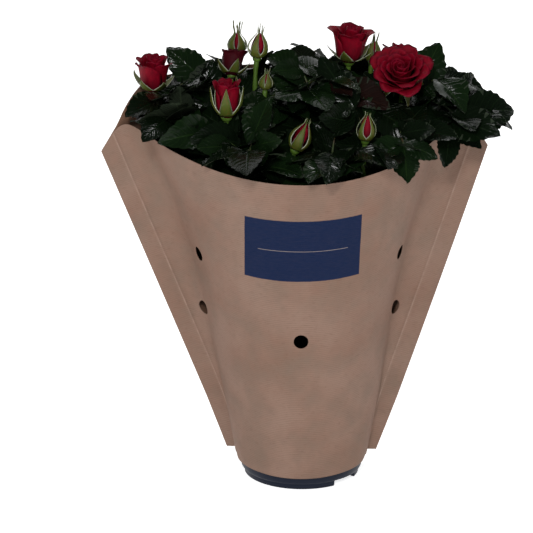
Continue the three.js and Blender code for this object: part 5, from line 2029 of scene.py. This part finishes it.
    @staticmethod
    def bud_sepal(flower: Flower, t: Array, rng: Rng) -> tuple[Array, Array, Array]:
        """Radius, height and half width along a sepal that clasps a bud and runs on into a leafy tip."""
        size = flower.size
        long = 1.0 + flower.leafy * rng.uniform(0.6, 1.2)
        z = size * (0.1 + (long - 0.1) * t)
        places = np.array([0, 0.14, 0.3, 0.45, 0.62, 0.8, 0.95, 1.6])
        body = np.array([0.15, 0.2, 0.93, 1.0, 0.86, 0.5, 0.16, 0.1])
        wide = flower.spread
        r = size * np.interp(z / size, places, body * np.array([1, 1] + [wide] * 6)) + 0.6
        free = np.maximum(0, z / size - 0.85)
        r = r + size * free * rng.uniform(-0.1, 0.9) * flower.leafy
        cover = np.interp(z / size, [0, 0.2, 0.45, 0.7, 0.9, 1.0], [0.63, 0.66, 0.54, 0.38, 0.3, 0.3])
        cover = cover * (1 - (flower.clasp - 0.5) * smoothstep(z / size, 0.15, 0.4))
        leaf = 0.035 * size * np.exp(-(((z / size - long + 0.12) / 0.07) ** 2)) * (flower.leafy > 0.35)
        broad = np.minimum(cover * r, size * 0.24) * (1 - smoothstep(t, 0.6, 1.0))
        half = broad + 0.035 * size * (1 - t) + leaf + 0.12
        return r, z, half

    @staticmethod
    def cup_sepal(flower: Flower, t: Array, rng: Rng) -> tuple[Array, Array, Array]:
        """Radius, height and half width along a sepal that lies on the petals and turns out at its tip."""
        size, wide = flower.size, flower.spread
        long = flower.clasp + flower.leafy * rng.uniform(0.3, 1.1)
        z = size * (0.1 + (long - 0.1) * t)
        out = rng.uniform(0.0, 0.5) * flower.leafy
        bulge = 0.13 + (0.3 + 0.26 * wide) * np.sin(0.5 * math.pi * np.minimum(1, z / size / 0.6))
        r = size * (bulge * (0.72 + 0.4 * wide) + out * np.maximum(0, t - 0.6)) + 0.5
        half = size * 0.2 * (1 - t**1.5) ** 1.1 + 0.2
        return r, z, half

    @staticmethod
    def sepal(azimuth: float, r: Array, z: Array, half: Array, rng: Rng) -> Sheet:
        """Closes one sepal into a sheet that wraps round the axis by its half width over its radius."""
        s = np.linspace(-1, 1, 7)
        bend = rng.normal(0, 0.12) * np.linspace(0, 1, len(r)) ** 3
        angle = azimuth + bend[:, None] + s * (half / np.maximum(r, 0.6))[:, None]
        height = np.broadcast_to(z[:, None], angle.shape)
        grid = np.stack([r[:, None] * np.cos(angle), r[:, None] * np.sin(angle), height], -1)
        uv = np.stack(np.broadcast_arrays((s + 1) / 2, np.linspace(0, 1, len(r))[:, None]), -1)
        return shell(grid[None, :, ::-1], 0.4, uv[:, ::-1])


# ---------------- studio


@dataclass
class Studio:
    """White sweep, soft lights and the camera; the sweep in millimetres, the camera in metres and degrees."""

    sweep_half: float = 5000
    bend_from: float = 2900
    bend_radius: float = 600
    wall_top: float = 4000
    camera_at: Triple = (0, -1.678, 0.661)
    lens: float = 154.6
    sensor: float = 36
    pitch: float = 16.47
    yaw: float = 0.93

    def build(self, palette: Palette) -> None:
        """Sets the stage."""
        self.build_sweep(palette)
        self.light("key", (-0.2, -2.1, 1.35), 0.3, 23)
        self.light("fill", (0.7, -1.9, 0.6), 0.5, 2.2)
        self.light("top", (0.1, 0.5, 1.9), 0.25, 5)
        world = bpy.data.worlds.new("studio_air")
        world.use_nodes = True
        background = world.node_tree.nodes["Background"]
        background.inputs[0].default_value = linear("#f5f7fa")
        background.inputs[1].default_value = 0.12
        bpy.context.scene.world = world
        bpy.context.scene.view_settings.view_transform = "Standard"
        self.build_camera()

    def build_sweep(self, palette: Palette) -> None:
        """Builds the sweep: a floor that curves up through a quarter circle into a wall."""
        bend = np.linspace(0, math.pi / 2, 25)
        wall, radius = self.bend_from + self.bend_radius, self.bend_radius
        y = np.concatenate([[-self.sweep_half], self.bend_from + radius * np.sin(bend), [wall]])
        z = np.concatenate([[0], radius - radius * np.cos(bend), [self.wall_top]]) - 0.1
        x = np.linspace(-self.sweep_half, self.sweep_half, 3)
        grid = np.stack(np.broadcast_arrays(x, y[:, None], z[:, None]), -1)
        mesh = bpy.data.meshes.new("studio_sweep")
        rows, columns = grid.shape[:2]
        index = np.arange(rows * columns).reshape(rows, columns)
        quads = np.stack([index[:-1, :-1], index[:-1, 1:], index[1:, 1:], index[1:, :-1]], -1).reshape(-1, 4)
        mesh.from_pydata((grid.reshape(-1, 3) * MM).tolist(), [], quads.tolist())
        mesh.polygons.foreach_set("use_smooth", np.ones(len(mesh.polygons), bool))
        mesh.materials.append(palette.backdrop)
        sweep = bpy.data.objects.new("studio_sweep", mesh)
        bpy.context.scene.collection.objects.link(sweep)

    @staticmethod
    def light(name: str, at: Triple, size: float, power: float) -> None:
        """Adds a square area light that faces the plant."""
        data = bpy.data.lights.new(name, "AREA")
        data.size, data.energy = size, power
        lamp = bpy.data.objects.new(name, data)
        lamp.location = at
        toward = np.array([0, 0, 0.18]) - np.array(at)
        lamp.rotation_euler = look_along(toward)
        bpy.context.scene.collection.objects.link(lamp)

    def build_camera(self) -> None:
        """Places the camera a little above the plant, looking slightly down."""
        data = bpy.data.cameras.new("camera")
        data.lens = self.lens
        data.sensor_width = self.sensor
        camera = bpy.data.objects.new("camera", data)
        camera.location = self.camera_at
        pitch, yaw = math.radians(self.pitch), math.radians(self.yaw)
        camera.rotation_euler = (math.pi / 2 - pitch, 0, yaw)
        bpy.context.scene.collection.objects.link(camera)
        bpy.context.scene.camera = camera


def look_along(direction: Array) -> Triple:
    """Euler angles that turn an object's -Z along a direction."""
    x, y, z = unit(np.asarray(direction, float))
    return (math.acos(-z), 0, math.atan2(-x, y))


def main() -> None:
    """Builds the whole plant and its studio, sub-assembly by sub-assembly."""
    logging.basicConfig(level=logging.INFO, format="%(name)s %(relativeCreated)d ms %(message)s")
    sleeve = PaperSleeve()
    palette = Palette(sleeve.seam())
    pot = NurseryPot()
    pot.build(palette)
    PottingSoil(pot).build(palette)
    sleeve.build(palette)
    RoseBush(sleeve).build(palette)
    Studio().build(palette)


if __name__ == "__main__":
    main()
